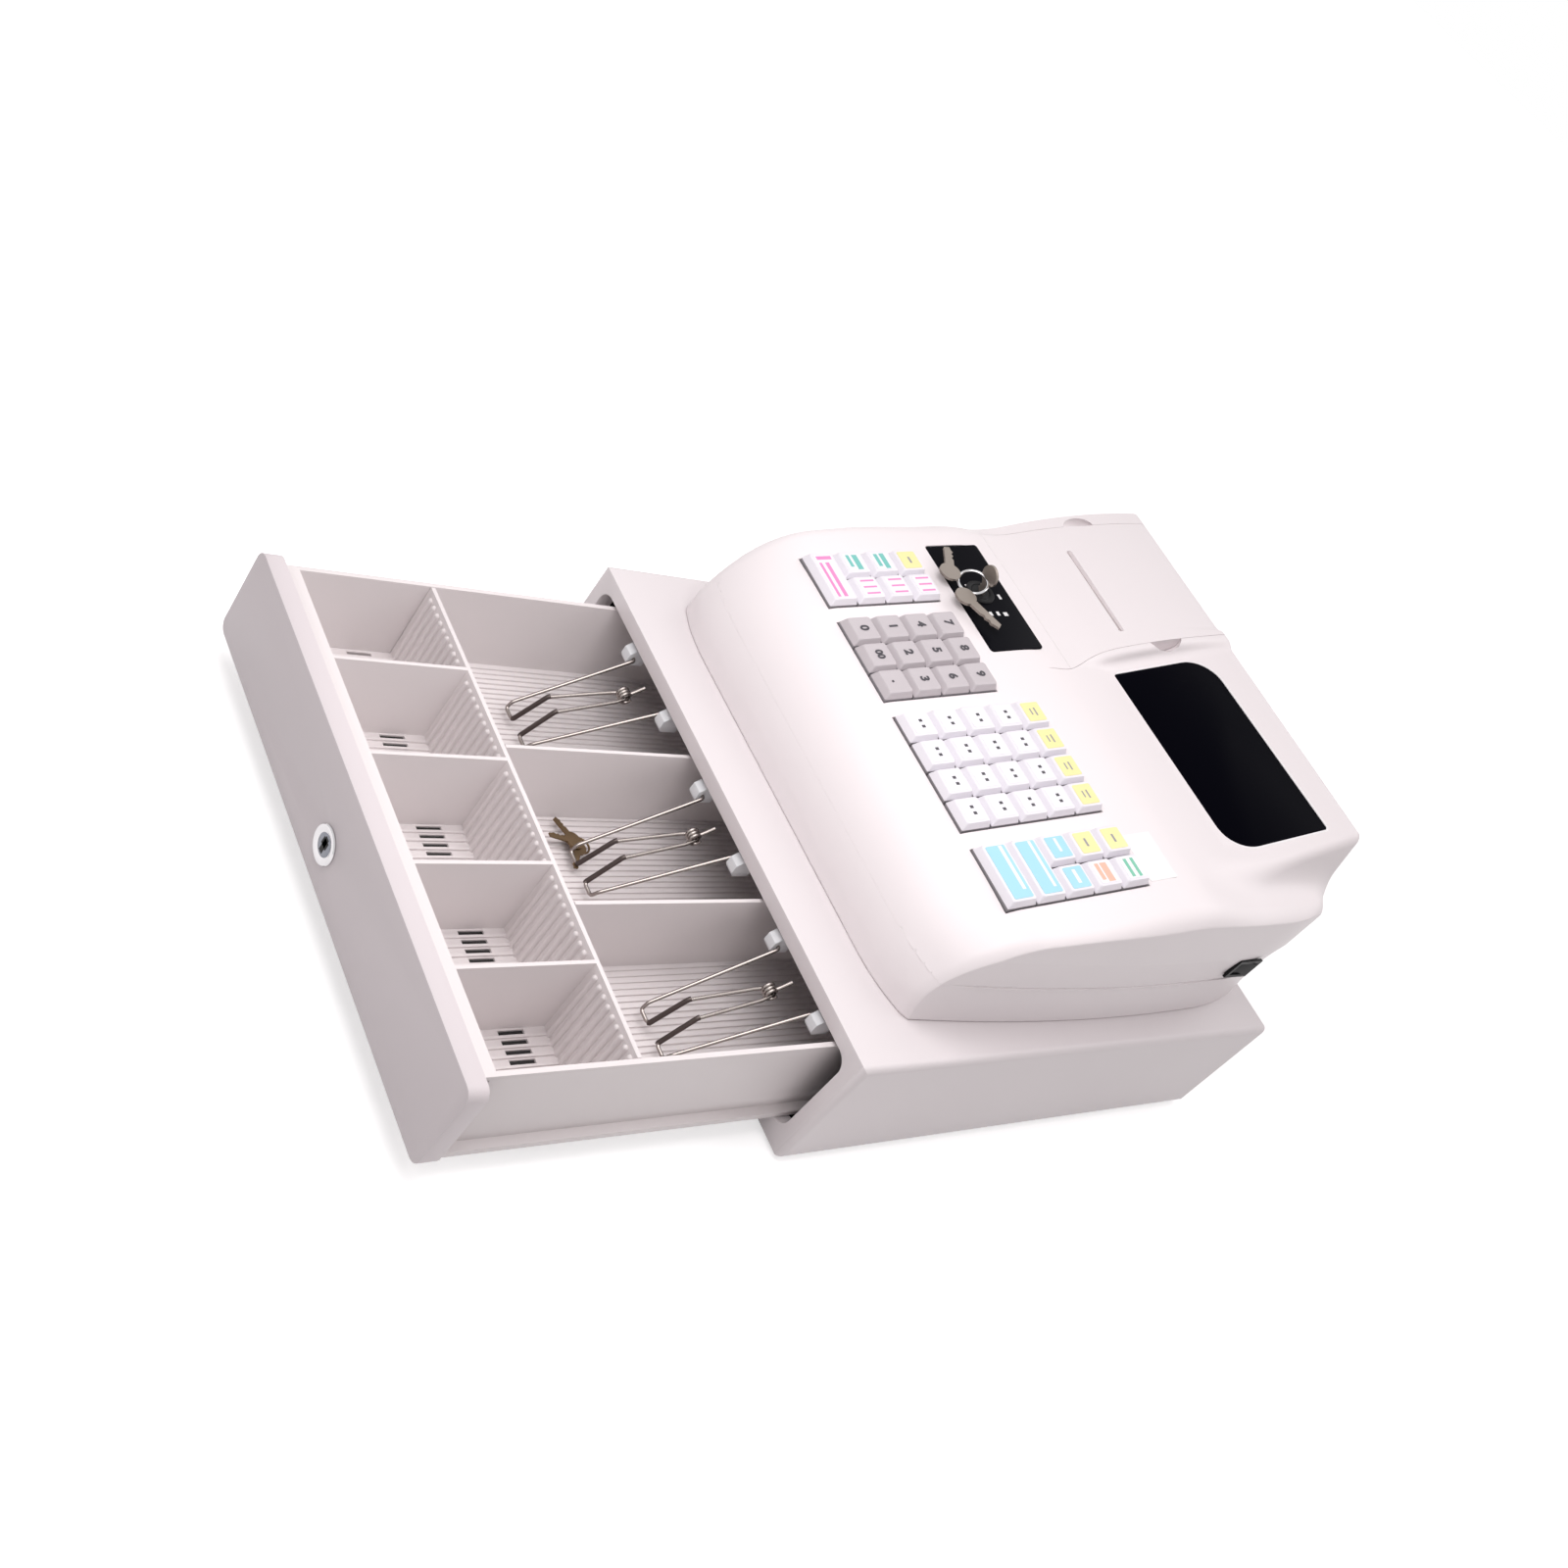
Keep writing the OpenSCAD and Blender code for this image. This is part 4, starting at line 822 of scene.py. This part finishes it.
def make_upper_case():
    lo = (-HALF_BODY - 3, BODY_Y - 3, SEAM_LINE - 3)
    hi = (HALF_BODY + 3, BODY_REAR + 3, COVER_TOP + 3)
    obj = field_piece("upper_case_skin", case_solid, lo, hi, 1.35)
    cutter = join("case_cuts", [key_wells(), panel_recess(), window_recess(), switch_recess(),
                                seam_groove()])
    fix_normals(cutter)
    cut(obj, cutter)
    shade_from(obj, case_solid)
    declare(obj, "register", "case_plastic", ["upper_case"], "case_plastic")


def seam_groove():
    """Fine line that carries the cover's seam on to the mode panel."""
    sides = ([], [])
    for i in range(9):
        y = LEVEL_Y + 1.0 + (COVER_FRONT - LEVEL_Y - 0.6) * i / 8
        for side, half in zip(sides, (-0.22, 0.22)):
            side.append((seam_x(y) + half, y))
    return prism("seam_groove", sides[0] + sides[1][::-1], (LEVEL_Z - 0.7, LEVEL_Z + 9.0))


def key_wells():
    spans = []
    for b in range(4):
        spans.append(((LEFT[b] - 0.25, -0.25, -25.0),
                      (LEFT[b] + COLS[b] * PITCH + 0.25, ROWS[b] * PITCH + 0.25, 40.0)))
    x, s = MODE[0], deck_s(MODE[1])
    spans.append(((x - 7.0, s - 7.0, -25.0), (x + 7.0, s + 7.0, 30.0)))
    return boxes("key_wells", spans, deck_point)


def panel_outline(grow, r):
    """Outline of the mode panel on the deck."""
    x0, s0 = MODE_PANEL[0], deck_s(MODE_PANEL[1]) + MODE_L / 2
    return [(x0 + x, s0 + y) for x, y in rounded_rect(MODE_W + 2 * grow, MODE_L + 2 * grow, r)]


def panel_recess():
    return prism("panel_recess", panel_outline(0.4, 2.2), (-1.3, 12.0), deck_point)


def window_point(x, s, h=0.0):
    c, t = math.cos(WINDOW_TILT), math.sin(WINDOW_TILT)
    return (WINDOW_X + x, WINDOW_Y + s * c - h * t, LEVEL_Z + s * t + h * c)


def window_ring(grow=0.0):
    """Outline of the window: two tight corners and two wide ones across a diagonal."""
    w, l = WINDOW_W + 2 * grow, WINDOW_L + 2 * grow
    pts = []
    for cx, cy, a0, r in ((1, 1, 0, 2.0), (-1, 1, 90, 19.0), (-1, -1, 180, 2.0), (1, -1, 270, 19.0)):
        r += grow
        n = 10 if r > 6 else 4
        for i in range(n + 1):
            a = math.radians(a0 + 90 * i / n)
            pts.append((cx * (w / 2 - r) + r * math.cos(a),
                        WINDOW_L / 2 + cy * (l / 2 - r) + r * math.sin(a)))
    return pts


def window_recess():
    return prism("window_recess", window_ring(0.4), (-1.7, 20.0), window_point)


def switch_recess():
    """Place of the power switch: through the flank, and wider where its rim lies in it."""
    lo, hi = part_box("power_switch")
    x0, x1 = hx(lo[0]), hx(hi[0])
    ya, yb, za, zb = hy(lo[1]), hy(hi[1]), hz(lo[2]), hz(hi[2])
    play = 0.15
    return boxes("switch_recess", [
        ((x0 + 9, ya + 1.0, za + 1.0), (x1 + 9, yb - 1.0, zb - 1.0)),
        ((x1 - 1.9, ya - play, za - play), (x1 + 9, yb + play, zb + play))])


def make_lower_case():
    lo = (-HALF_BODY - 3, BODY_Y - 3, HOUSE_H - 2)
    hi = (HALF_BODY + 3, BODY_REAR + 3, SEAM_LINE + 2)
    obj = field_piece("lower_case_skin", lower_solid, lo, hi, 1.35)
    shade_from(obj, lower_solid)
    declare(obj, "register", "case_plastic", ["lower_case"], "case_plastic")


def make_cover():
    lo = (-HALF_BODY - 1, COVER_FRONT - 2, LEVEL_Z - 8)
    hi = (SEAM_X + 16, BODY_REAR + 2, COVER_TOP + 2)
    obj = field_piece("printer_cover_skin", cover_solid, lo, hi, 0.95)
    shade_from(obj, cover_solid)
    # A sheet in the slot's depth, painted as the groove's shade
    reach = SLOT[2] / 2 + 0.3
    shade_sheet = boxes("slot_shade_sheet", [((SLOT[0] - reach, SLOT[1] - SHADE_SHEET_HALF, 173.0),
                                    (SLOT[0] + reach, SLOT[1] + SHADE_SHEET_HALF, 177.2))])
    cover = join("printer_cover_finish", [paint(obj, "case_plastic"), paint(shade_sheet, "slot_shade")])
    declare(cover, "printer_cover", "case_plastic", ["printer_cover"])


def make_window():
    rings = [[(x, y, z) for x, y in window_ring(grow)]
             for grow, z in ((0.0, -1.6), (0.0, -0.7), (0.0, -0.3), (-0.3, -0.12))]
    obj = loft("window_glass", rings, window_point, 40)
    declare(obj, "register", "black_gloss", ["display_window"], "window_black")


def make_window_rim():
    """Narrow moulded lip round the window."""
    profile = [(0.1, -0.9), (0.1, 0.05), (0.35, 0.22), (1.0, 0.22), (1.5, -0.1), (1.5, -0.9)]
    points = [window_point(x, y, z) for grow, z in profile for x, y in window_ring(grow)]
    faces = ring_faces(len(profile), len(points) // len(profile), True)
    declare(closed_form("window_rim", points, faces, 40), "register", material="rim_white")


def make_sticker():
    """Bare white label stuck on the deck, behind the right block of keys."""
    ring = [(STICKER[0] + x, deck_s(STICKER[1]) + y) for x, y in rounded_rect(30.0, 19.0, 0.8)]
    declare(prism("sticker", ring, (-0.2, 0.2), deck_point), "register", material="sticker")


# ---- Keys ----

# Cap from the skirt up to the dished top: inset of the sides, front and back, height, corner radius
CAP = ((0.0, 0.0, 0.0, -4.0, 0.5), (0.0, 0.0, 0.0, 0.9, 0.6), (0.2, 0.3, 0.15, 1.5, 0.8),
       (1.0, 2.1, 0.7, KEY_H - 0.75, 1.3), (1.25, 2.4, 0.9, KEY_H - 0.2, 1.4),
       (1.7, 2.8, 1.3, KEY_H, 1.4), (2.5, 3.5, 2.1, KEY_H - 0.18, 1.6))


def cap_rings(w, l):
    rings = []
    for side, front, back, z, r in CAP:
        outline = rounded_rect(w - 2 * side, l - front - back, r, 3)
        rings.append([(x, y + (front - back) / 2, z) for x, y in outline])
    return rings


def make_cap(name, b, col, r, cols, cap_mat, label_mat, mark):
    """Key cap in block b, its lowest skirt painted in shade, with stems, a label and a printed mark."""
    w, l = cols * PITCH - KEY_GAP, PITCH - KEY_GAP
    cx, cs = LEFT[b] + (col + cols / 2) * PITCH, (r + 0.5) * PITCH

    def to(x, y, z):
        return deck_point(cx + x, cs + y, z)

    rings = cap_rings(w, l)
    cap = paint(loft(name, rings, to, 38), cap_mat)
    cap.data.materials.append(MAT["key_shade"])
    # The skirt's lowest ring, down in the gap between keys, gets painted shade
    for face in cap.data.polygons:
        if max(face.vertices) < 2 * len(rings[0]):
            face.material_index = 1
    parts = [cap]
    for i in range(cols):
        sx = (i + 0.5) * PITCH - PITCH * cols / 2
        stem = boxes(name + "_stem", [((sx - 2.5, -2.5, -18.0), (sx + 2.5, 2.5, -3.9))], to)
        parts.append(paint(stem, cap_mat))
    if label_mat:
        parts.append(label(name, w, l, to, label_mat))
    return join(name + "_cap", parts + [mark(name, w, l, to)])


def label(name, w, l, to, mat):
    """Coloured insert in the cap's top."""
    ring = [(x, y + 1.0) for x, y in rounded_rect(w - 5.2, l - 6.0, 0.8, 3)]
    return paint(prism(name + "_label", ring, (KEY_H - 0.6, KEY_H + 0.02), to), mat)


def bars(mat, spans):
    """Printed bars (x0, x1, y0, y1) on a key, in parts of the cap's width and length."""
    def build(name, w, l, to):
        ends = [((x0 * w, y0 * l, KEY_H - 0.3), (x1 * w, y1 * l, KEY_H + 0.06))
                for x0, x1, y0, y1 in spans]
        return paint(boxes(name + "_bars", ends, to), mat)
    return build


def figure(text):
    """A printed figure in the middle of the cap."""
    def build(name, w, l, to):
        curve = bpy.data.curves.new(name + "_figure", "FONT")
        curve.body = text
        curve.size = 7.4 if len(text) == 1 else 6.2
        curve.align_x = "CENTER"
        curve.align_y = "CENTER"
        curve.extrude = 0.08
        curve.offset = 0.28
        flat = link(name + "_figure", curve)
        bpy.context.view_layer.update()
        mesh = bpy.data.meshes.new_from_object(flat)
        bpy.data.objects.remove(flat)
        for v in mesh.vertices:
            x, y, z = v.co
            v.co = row(to(x, y + 0.9, KEY_H - 0.02 + z))
        return paint(link(name + "_figure", mesh), "legend_ink")
    return build


def make_figure_keys():
    for i, key in enumerate(("0", "00", "point", "1", "2", "3", "4", "5", "6", "7", "8", "9")):
        node = "num_" + key
        mark = figure("." if key == "point" else key)
        obj = make_cap(node, 1, i % 3, i // 3, 1, "key_grey", None, mark)
        declare(obj, node, "key_grey", [node])


def make_department_keys():
    dots = bars("legend_ink", [(-0.15, -0.05, 0.02, 0.14), (0.07, 0.17, 0.02, 0.14)])
    lines = bars("faint_ink", [(-0.14, 0.16, 0.10, 0.16), (-0.12, 0.12, -0.06, -0.01)])
    for col in range(COLS[2]):
        node = f"dept_column_{col + 1}"
        caps = []
        for r in range(ROWS[2]):
            top = r == ROWS[2] - 1
            caps.append(make_cap(f"{node}_{r}", 2, col, r, 1, "key_white",
                                 "key_yellow" if top else "label_white", lines if top else dots))
        declare(join(node + "_caps", caps), node, "key_white", [node])


# Block, column, row and width of each key at the sides, its label, and its bars' colour and places
SIDE_KEYS = {
    "subtotal_key": (0, 0, 0, 2, "label_white", "key_pink", [
        (-0.40, -0.33, -0.2, 0.34), (-0.27, 0.42, 0.02, 0.16), (-0.27, 0.42, -0.20, -0.10)]),
    "side_key_2l": (0, 0, 1, 1, "label_white", "key_teal", [
        (-0.30, 0.32, 0.06, 0.26), (-0.30, 0.20, -0.16, -0.04)]),
    "side_key_3l": (0, 0, 2, 1, "label_white", "key_teal", [
        (-0.32, 0.32, 0.06, 0.24), (-0.30, 0.22, -0.16, -0.02)]),
    "side_key_4l": (0, 0, 3, 1, "key_yellow", "faint_ink", [(-0.12, 0.14, 0.02, 0.1)]),
    "total_key": (3, 0, 0, 2, "key_blue", "label_white", [(-0.42, 0.30, 0.16, 0.28)]),
    "cash_key": (3, 0, 1, 2, "key_blue", "label_white", [(-0.42, 0.34, 0.16, 0.26)]),
    "fn_key_3l": (3, 0, 2, 1, "key_blue", "label_white", [(-0.30, 0.16, 0.02, 0.12)]),
    "fn_key_3r": (3, 1, 2, 1, "key_blue", "label_white", [(-0.26, 0.20, 0.0, 0.12)]),
    "fn_key_4l": (3, 0, 3, 1, "key_yellow", "faint_ink", [(-0.14, 0.14, 0.0, 0.08)]),
    "fn_key_4r": (3, 1, 3, 1, "label_white", "key_orange", [
        (-0.32, 0.32, 0.02, 0.26), (-0.32, 0.24, -0.18, -0.04)]),
    "fn_key_5l": (3, 0, 4, 1, "key_yellow", "faint_ink", [(-0.14, 0.14, 0.0, 0.08)]),
    "fn_key_5r": (3, 1, 4, 1, "label_white", "key_green", [
        (-0.32, 0.32, 0.12, 0.24), (-0.32, 0.30, -0.14, -0.02)]),
}
STRIPES = [(x - 0.035, x + 0.035, -0.16, 0.34) for x in (-0.26, 0.0, 0.26)]
for level in (1, 2, 3):
    SIDE_KEYS[f"side_key_{level + 1}r"] = (0, 1, level, 1, "label_white", "key_pink", STRIPES)


def make_side_keys():
    for node, (b, col, r, cols, top, ink, spans) in SIDE_KEYS.items():
        obj = make_cap(node, b, col, r, cols, "key_white", top, bars(ink, spans))
        declare(obj, node, SLOTS[node], [node])


# ---- Drawer housing and drawer ----

def make_housing():
    """Housing with a soft front rim; the faces inside it are painted dark as shade."""
    def round_rim(bm):
        rim = [e for e in bm.edges if all(abs(v.co.y - OY) < 1e-5 for v in e.verts)]
        bmesh.ops.bevel(bm, geom=rim, offset=2.4 * MM, segments=4, profile=0.5, affect="EDGES",
                        clamp_overlap=True)

    obj = rejoined("base_housing")
    edit(obj, round_rim)
    bevel(obj, 0.8)
    smooth(obj, 32)
    paint(obj, "housing_plastic").data.materials.append(MAT["inside_shade"])
    skin_t = 2.4
    # Faces inside the housing get painted shade in place of the housing's own colour
    for poly in obj.data.polygons:
        x, y, z = hx(poly.center.x), hy(poly.center.y), hz(poly.center.z)
        inside = abs(x) < HOUSE_W / 2 - skin_t and 9.0 < y < HOUSE_D - skin_t
        if inside and skin_t < z < HOUSE_H - skin_t:
            poly.material_index = 1
    declare(obj, "register", "housing_plastic", ["base_housing"])


def make_drawer():
    edges = {"drawer_front": 0.9, "drawer_tray": 0.35, "coin_tray": 0.35, "clip_rail": 0.5}
    for node, width in edges.items():
        declare(softened(node, width), "drawer", SLOTS[node], [node], SLOTS[node])


def make_coin_slot_shade():
    """Dark sheet within the coin tray's floor, seen only through its slots: painted shade where they
    look through to the dark under the drawer.
    """
    lo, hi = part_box("coin_tray")
    z = hz(lo[2])
    # The sheet is painted shade, not a part of the tray
    sheet = boxes("coin_slot_shade", [((hx(lo[0]) + 4, hy(lo[1]) + 4, z + 0.3),
                                        (hx(hi[0]) - 4, hy(hi[1]) - 4, z + 0.9))])
    declare(sheet, "drawer", material="gap_shade")


def make_lock():
    profile = [(5.9, 7.0), (8.0, 7.0), (8.0, 0.0), (9.7, 0.0), (9.7, -0.7),
               (9.3, -1.3), (8.6, -1.5), (7.4, -1.3), (6.6, -0.9), (5.9, -0.7)]
    collar = lathe("lock_collar", profile, (0.0, hy(PANEL[0][1]), LOCK_Z), (0, 1, 0), 30)
    declare(collar, "drawer", "lock_chrome", ["drawer_lock"], "lock_chrome")


def make_lock_plug():
    y, z = hy(LOCK[0][1]), LOCK_Z
    # The keyway is a near black box at the plug's face: painted shade for the hole
    hole = boxes("keyway_shade", [((-1.5, y + 0.62, z - 4.4), (1.5, y + 0.9, z + 4.4)),
                                 ((-2.6, y + 0.62, z - 1.0), (2.6, y + 0.9, z + 3.2))])
    plug = paint(softened("drawer_lock_plug", 0.3), "lock_plug_metal")
    obj = join("lock_plug_finish", [plug, paint(hole, "gap_shade")])
    declare(obj, "drawer_lock_plug", "lock_chrome", ["drawer_lock_plug"])


# Bent wires of a note clip, from its pivot: name, points, radius, material
CLIP_WIRES = (
    ("arm", [(25.0, 0, 0), (18.9, 0, 0), (14.8, -61.5, CLIP_TIP + 4.0), (14.0, -63.4, CLIP_TIP + 0.6),
             (12.6, -63.6, CLIP_TIP), (7.2, -63.6, CLIP_TIP), (5.6, -63.0, CLIP_TIP + 0.8)],
     1.0, "clip_wire"),
    # Presser bars: thicker and darker than the wire, painted to stand for its dark reflection and its
    # shadow
    ("presser", [(6.2, -63.5, CLIP_TIP + 0.3), (5.6, -63.0, CLIP_TIP + 0.8),
                 (5.3, -51.8, CLIP_TIP + 19.4), (5.2, -50.4, CLIP_TIP + 20.4)], 1.35, "wire_dark"),
    ("back", [(5.3, -51.8, CLIP_TIP + 19.4), (3.4, -16.0, -10.0), (2.2, -11.0, -8.5)],
     1.0, "clip_wire"),
)
CLIP_LEG = [(0.0, -11.0, -9.0), (0.0, -6.0, -5.5), (0.0, -1.0, -1.0)]
COIL_R, COIL_W, COIL_TURNS = 3.1, 5.6, 3


def make_clips():
    """Each clip: an arm from each lug, a drop to the note, a dark presser bar and a coil."""
    y0, z0 = CLIP_PIVOT
    for i, c in enumerate(CLIPS):
        parts = []
        for side in (1, -1):
            for name, pts, r, mat in CLIP_WIRES:
                path = [(c + side * x, y0 + y, z0 + z) for x, y, z in pts]
                parts.append(paint(tube(f"clip_{i}_{name}", path, r, bend=1.6), mat))
        leg = tube(f"clip_{i}_leg", [(c + x, y0 + y, z0 + z) for x, y, z in CLIP_LEG], 1.0, bend=2.0)
        coil = []
        for k in range(49):
            a = 2 * math.pi * COIL_TURNS * k / 48
            coil.append((c + COIL_W * (k / 48 - 0.5), y0 - 11.0 + COIL_R * math.cos(a),
                         z0 - 8.0 + COIL_R * math.sin(a)))
        parts += [paint(leg, "clip_wire"), paint(tube(f"clip_{i}_coil", coil, 0.95), "clip_wire")]
        node = f"note_clip_{i + 1}"
        declare(join(node + "_wire", parts), node, "clip_wire", [node])


def make_brass_keys():
    """Small bunch of brass keys lying in the middle note bay."""
    x, y, z = -13.0, -50.0, 17.2
    ring = [(x + 5 * math.cos(a), y + 5 * math.sin(a), z + 1.2)
            for a in [2 * math.pi * k / 24 for k in range(24)]]
    parts = [tube("brass_ring", ring, 0.6, closed=True)]
    for turn, dx, dy, lift in ((200, -3.5, -4.0, 1.4), (330, 3.0, -4.0, 2.6), (250, 0.0, -5.0, 3.6)):
        parts.append(flat_key("brass_key", (x + dx, y + dy, z + lift), turn, 4.6, 15.0, 3.2, 1.0))
    declare(join("brass_keys", parts), "drawer", material="key_brass")


def flat_key(name, at, turn, bow, reach, width, thick, to=None):
    """Flat key with a round bow, a shoulder and a toothed blade."""
    n = 22
    half = math.asin(min(0.95, width / 2 / bow))
    turns = [half + (2 * math.pi - 2 * half) * i / n for i in range(n + 1)]
    outline = [(bow * math.cos(t), bow * math.sin(t)) for t in turns]
    outline += [(reach * k, -width / 2 + (0.22 * width if j % 2 else 0.0))
                for j, k in enumerate((0.5, 0.58, 0.66, 0.74, 0.82, 0.9))]
    outline += [(reach, -width * 0.15), (reach * 0.95, width / 2)]
    ca, sa = math.cos(math.radians(turn)), math.sin(math.radians(turn))
    ring = [(at[0] + x * ca - y * sa, at[1] + x * sa + y * ca) for x, y in outline]
    return prism(name, ring, (at[2], at[2] + thick), to)


# ---- Mode lock ----

# Small unlettered marks printed on the mode panel: middle, width and length
MODE_MARKS = ((-83.0, 190.4, 3.6, 1.8), (-70.6, 177.0, 3.0, 2.0), (-70.4, 182.0, 3.0, 2.0),
              (-69.6, 187.0, 2.8, 2.8), (-73.6, 171.8, 4.0, 1.6))


def mode_point(x=0.0, y=0.0, z=0.0):
    """A point from the middle of the mode lock, along the deck."""
    return deck_point(MODE[0] + x, deck_s(MODE[1]) + y, z)


def make_mode_panel():
    rings = [[(x, y, z) for x, y in panel_outline(grow, 1.8)]
             for grow, z in ((0.0, -1.2), (0.0, -0.35), (-0.35, -0.08))]
    obj = loft("mode_panel_face", rings, deck_point)
    cut(obj, lathe("mode_hole", [(8.0, -20.0), (8.0, 20.0)], mode_point(), DECK_AXIS))
    smooth(obj, 30)
    marks = []
    for x, y, w, l in MODE_MARKS:
        s = deck_s(y)
        marks.append(((x - w / 2, s - l / 2, -0.2), (x + w / 2, s + l / 2, 0.02)))
    printed = paint(boxes("mode_marks", marks, deck_point), "white_mark")
    obj = join("mode_panel_printed", [paint(obj, "black_gloss"), printed])
    declare(obj, "register", "black_gloss", ["mode_panel"])


def make_mode_lock():
    profile = [(5.9, -16.0), (7.9, -16.0), (7.9, -0.05), (9.0, 0.0), (9.0, 0.6),
               (8.5, 1.1), (7.0, 1.2), (6.2, 0.9), (5.9, 0.5)]
    obj = lathe("mode_lock_collar", profile, mode_point(), DECK_AXIS, 30)
    declare(obj, "register", "lock_chrome", ["mode_lock"], "switch_black")


def make_mode_key():
    """The lock's plug, the key in it, and a ring with two spare keys."""
    def stood(x, y, z):
        return mode_point(x, z - 0.8, y + 13.4)

    profile = [(0.5, -16.0), (5.8, -16.0), (5.8, 0.6), (5.4, 0.9), (0.5, 0.9)]
    tilt = math.radians(15.5)
    r = 8.6
    ring = []
    for k in range(40):
        a = 2 * math.pi * k / 40
        along = r * math.sin(a) - r
        ring.append(mode_point(-1.6 + r * math.cos(a), along * math.cos(tilt),
                               9.8 + along * math.sin(tilt)))
    parts = [
        paint(lathe("mode_plug", profile, mode_point(), DECK_AXIS, 30), "switch_black"),
        paint(flat_key("mode_key_in", (0, 0, 0), 270, 6.4, 13.0, 5.6, 1.6, stood), "key_nickel"),
        paint(tube("mode_ring", ring, 0.85, closed=True), "lock_chrome")]
    for name, x, turn, reach in (("spare_a", -11.3, 154, 21.0), ("spare_b", 8.0, 20, 27.0)):
        spare = flat_key(name, (x, -18.6, 5.5), turn, 6.5, reach, 5.4, 1.6, mode_point)
        parts.append(paint(spare, "key_nickel"))
    declare(join("mode_key_bunch", parts), "mode_key", "key_nickel", ["mode_key"])


# ---- Pieces that keep their CAD form ----

def finish_nodes():
    """CAD nodes that are shown as they are, with their slot's material; the keyboard base, seen only
    between the keys, is painted in shade.
    """
    for node, obj in frame["nodes"].items():
        # The keyboard base gets painted shade, not its slot's colour
        paint(obj, "inside_shade" if node == "keyboard_base" else SLOTS[node])


def make_switch():
    for node, body, width in (("power_switch", "register", 0.35), ("power_rocker", "power_rocker", 0.4)):
        declare(softened(node, width), body, "switch_black", [node], "switch_black")


# ---- Stage ----

FLOOR_HALF = 6.0
FLOOR_LIFT = 0.55
ROOM_LIGHT = ((1.0, 0.95, 0.96, 1), 0.48)
BACKGROUND = ((1, 1, 1, 1), 1.0)
# Camera fitted to the photo: its axes, place and focal length
CAMERA_RIGHT = Vector((0.4112405, 0.7338936, 0.5406306))
CAMERA_DOWN = Vector((0.7715352, 0.0355867, -0.6351905))
CAMERA_AHEAD = Vector((-0.4854015, 0.6783316, -0.5515900))
CAMERA_AT = (445.38, -590.13, 594.28)
CAMERA_LENS = 40.952


def seen_rays(nodes, links):
    """1 for camera, glossy and transmission rays, which show the background; 0 for the others."""
    path = nodes.new("ShaderNodeLightPath")
    last = path.outputs["Is Camera Ray"]
    for name in ("Is Glossy Ray", "Is Transmission Ray"):
        either = nodes.new("ShaderNodeMath")
        either.operation = "MAXIMUM"
        links.new(last, either.inputs[0])
        links.new(path.outputs[name], either.inputs[1])
        last = either.outputs["Value"]
    return last


def floor_material():
    """Pale floor, lifted to white where it is seen; it keeps the object's shadow."""
    mat = principled("floor_white", (0.80, 0.80, 0.80), 0.9, spec=0.1)
    nodes, links = mat.node_tree.nodes, mat.node_tree.links
    lift = nodes.new("ShaderNodeMath")
    lift.operation = "MULTIPLY"
    lift.inputs[1].default_value = FLOOR_LIFT
    links.new(seen_rays(nodes, links), lift.inputs[0])
    shader = nodes["Principled BSDF"]
    shader.inputs["Emission Color"].default_value = (1, 1, 1, 1)
    links.new(lift.outputs["Value"], shader.inputs["Emission Strength"])
    return mat


def make_floor():
    mesh = bpy.data.meshes.new("floor")
    corners = [(x * FLOOR_HALF, y * FLOOR_HALF, 0) for x, y in ((-1, -1), (1, -1), (1, 1), (-1, 1))]
    mesh.from_pydata(corners, [], [(0, 1, 2, 3)])
    obj = link("floor", mesh)
    obj.data.materials.append(floor_material())
    obj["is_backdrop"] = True


def lamp(name, kind, strength, color, direction):
    """Lamp that shines along a direction."""
    data = bpy.data.lights.new(name, kind)
    data.energy = strength
    data.color = color
    obj = link(name, data)
    obj.rotation_euler = Vector(direction).to_track_quat("-Z", "Y").to_euler()
    return obj


def make_lights():
    place, target = row((0, -160, 550)), row((0, 60, 60))
    disc = lamp("over_drawer", "AREA", 2.1, (1.0, 0.975, 0.98), target - place)
    disc.location = place
    disc.data.shape = "DISK"
    disc.data.size = 0.5
    sun = lamp("rear_high", "SUN", 0.82, (1.0, 0.97, 0.975), (0, -0.64, -0.77))
    sun.data.angle = math.radians(45)


def make_world():
    """Soft light from all round, behind a white background."""
    world = bpy.data.worlds.new("studio")
    bpy.context.scene.world = world
    world.use_nodes = True
    nodes, links = world.node_tree.nodes, world.node_tree.links
    nodes.clear()
    mix = nodes.new("ShaderNodeMixShader")
    links.new(seen_rays(nodes, links), mix.inputs["Fac"])
    for socket, (color, strength) in ((1, ROOM_LIGHT), (2, BACKGROUND)):
        shade = nodes.new("ShaderNodeBackground")
        shade.inputs["Color"].default_value = color
        shade.inputs["Strength"].default_value = strength
        links.new(shade.outputs["Background"], mix.inputs[socket])
    out = nodes.new("ShaderNodeOutputWorld")
    links.new(mix.outputs["Shader"], out.inputs["Surface"])


def make_camera():
    data = bpy.data.cameras.new("camera")
    data.sensor_width = 36.0
    data.lens = CAMERA_LENS
    data.clip_end = 50
    obj = link("camera", data)
    turn = Matrix((CAMERA_RIGHT, -CAMERA_DOWN, -CAMERA_AHEAD)).transposed().to_4x4()
    turn.translation = row(CAMERA_AT)
    obj.matrix_world = turn
    bpy.context.scene.camera = obj


def setup_scene():
    view = bpy.context.scene.view_settings
    view.view_transform = "Standard"
    view.look = "None"
    view.exposure = 0.0
    view.gamma = 1.0


def write_sizes(first, last):
    plain = [[[float(v) for v in c] for c in b] for b in (first, last)]


finish_nodes()
make_housing()
make_drawer()
make_coin_slot_shade()
make_lock()
make_lock_plug()
make_clips()
make_brass_keys()
make_lower_case()
make_upper_case()
make_cover()
make_window()
make_window_rim()
make_sticker()
make_figure_keys()
make_department_keys()
make_side_keys()
make_mode_panel()
make_mode_lock()
make_mode_key()
make_switch()
make_floor()
make_lights()
make_world()
make_camera()
setup_scene()
write_sizes(before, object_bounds())
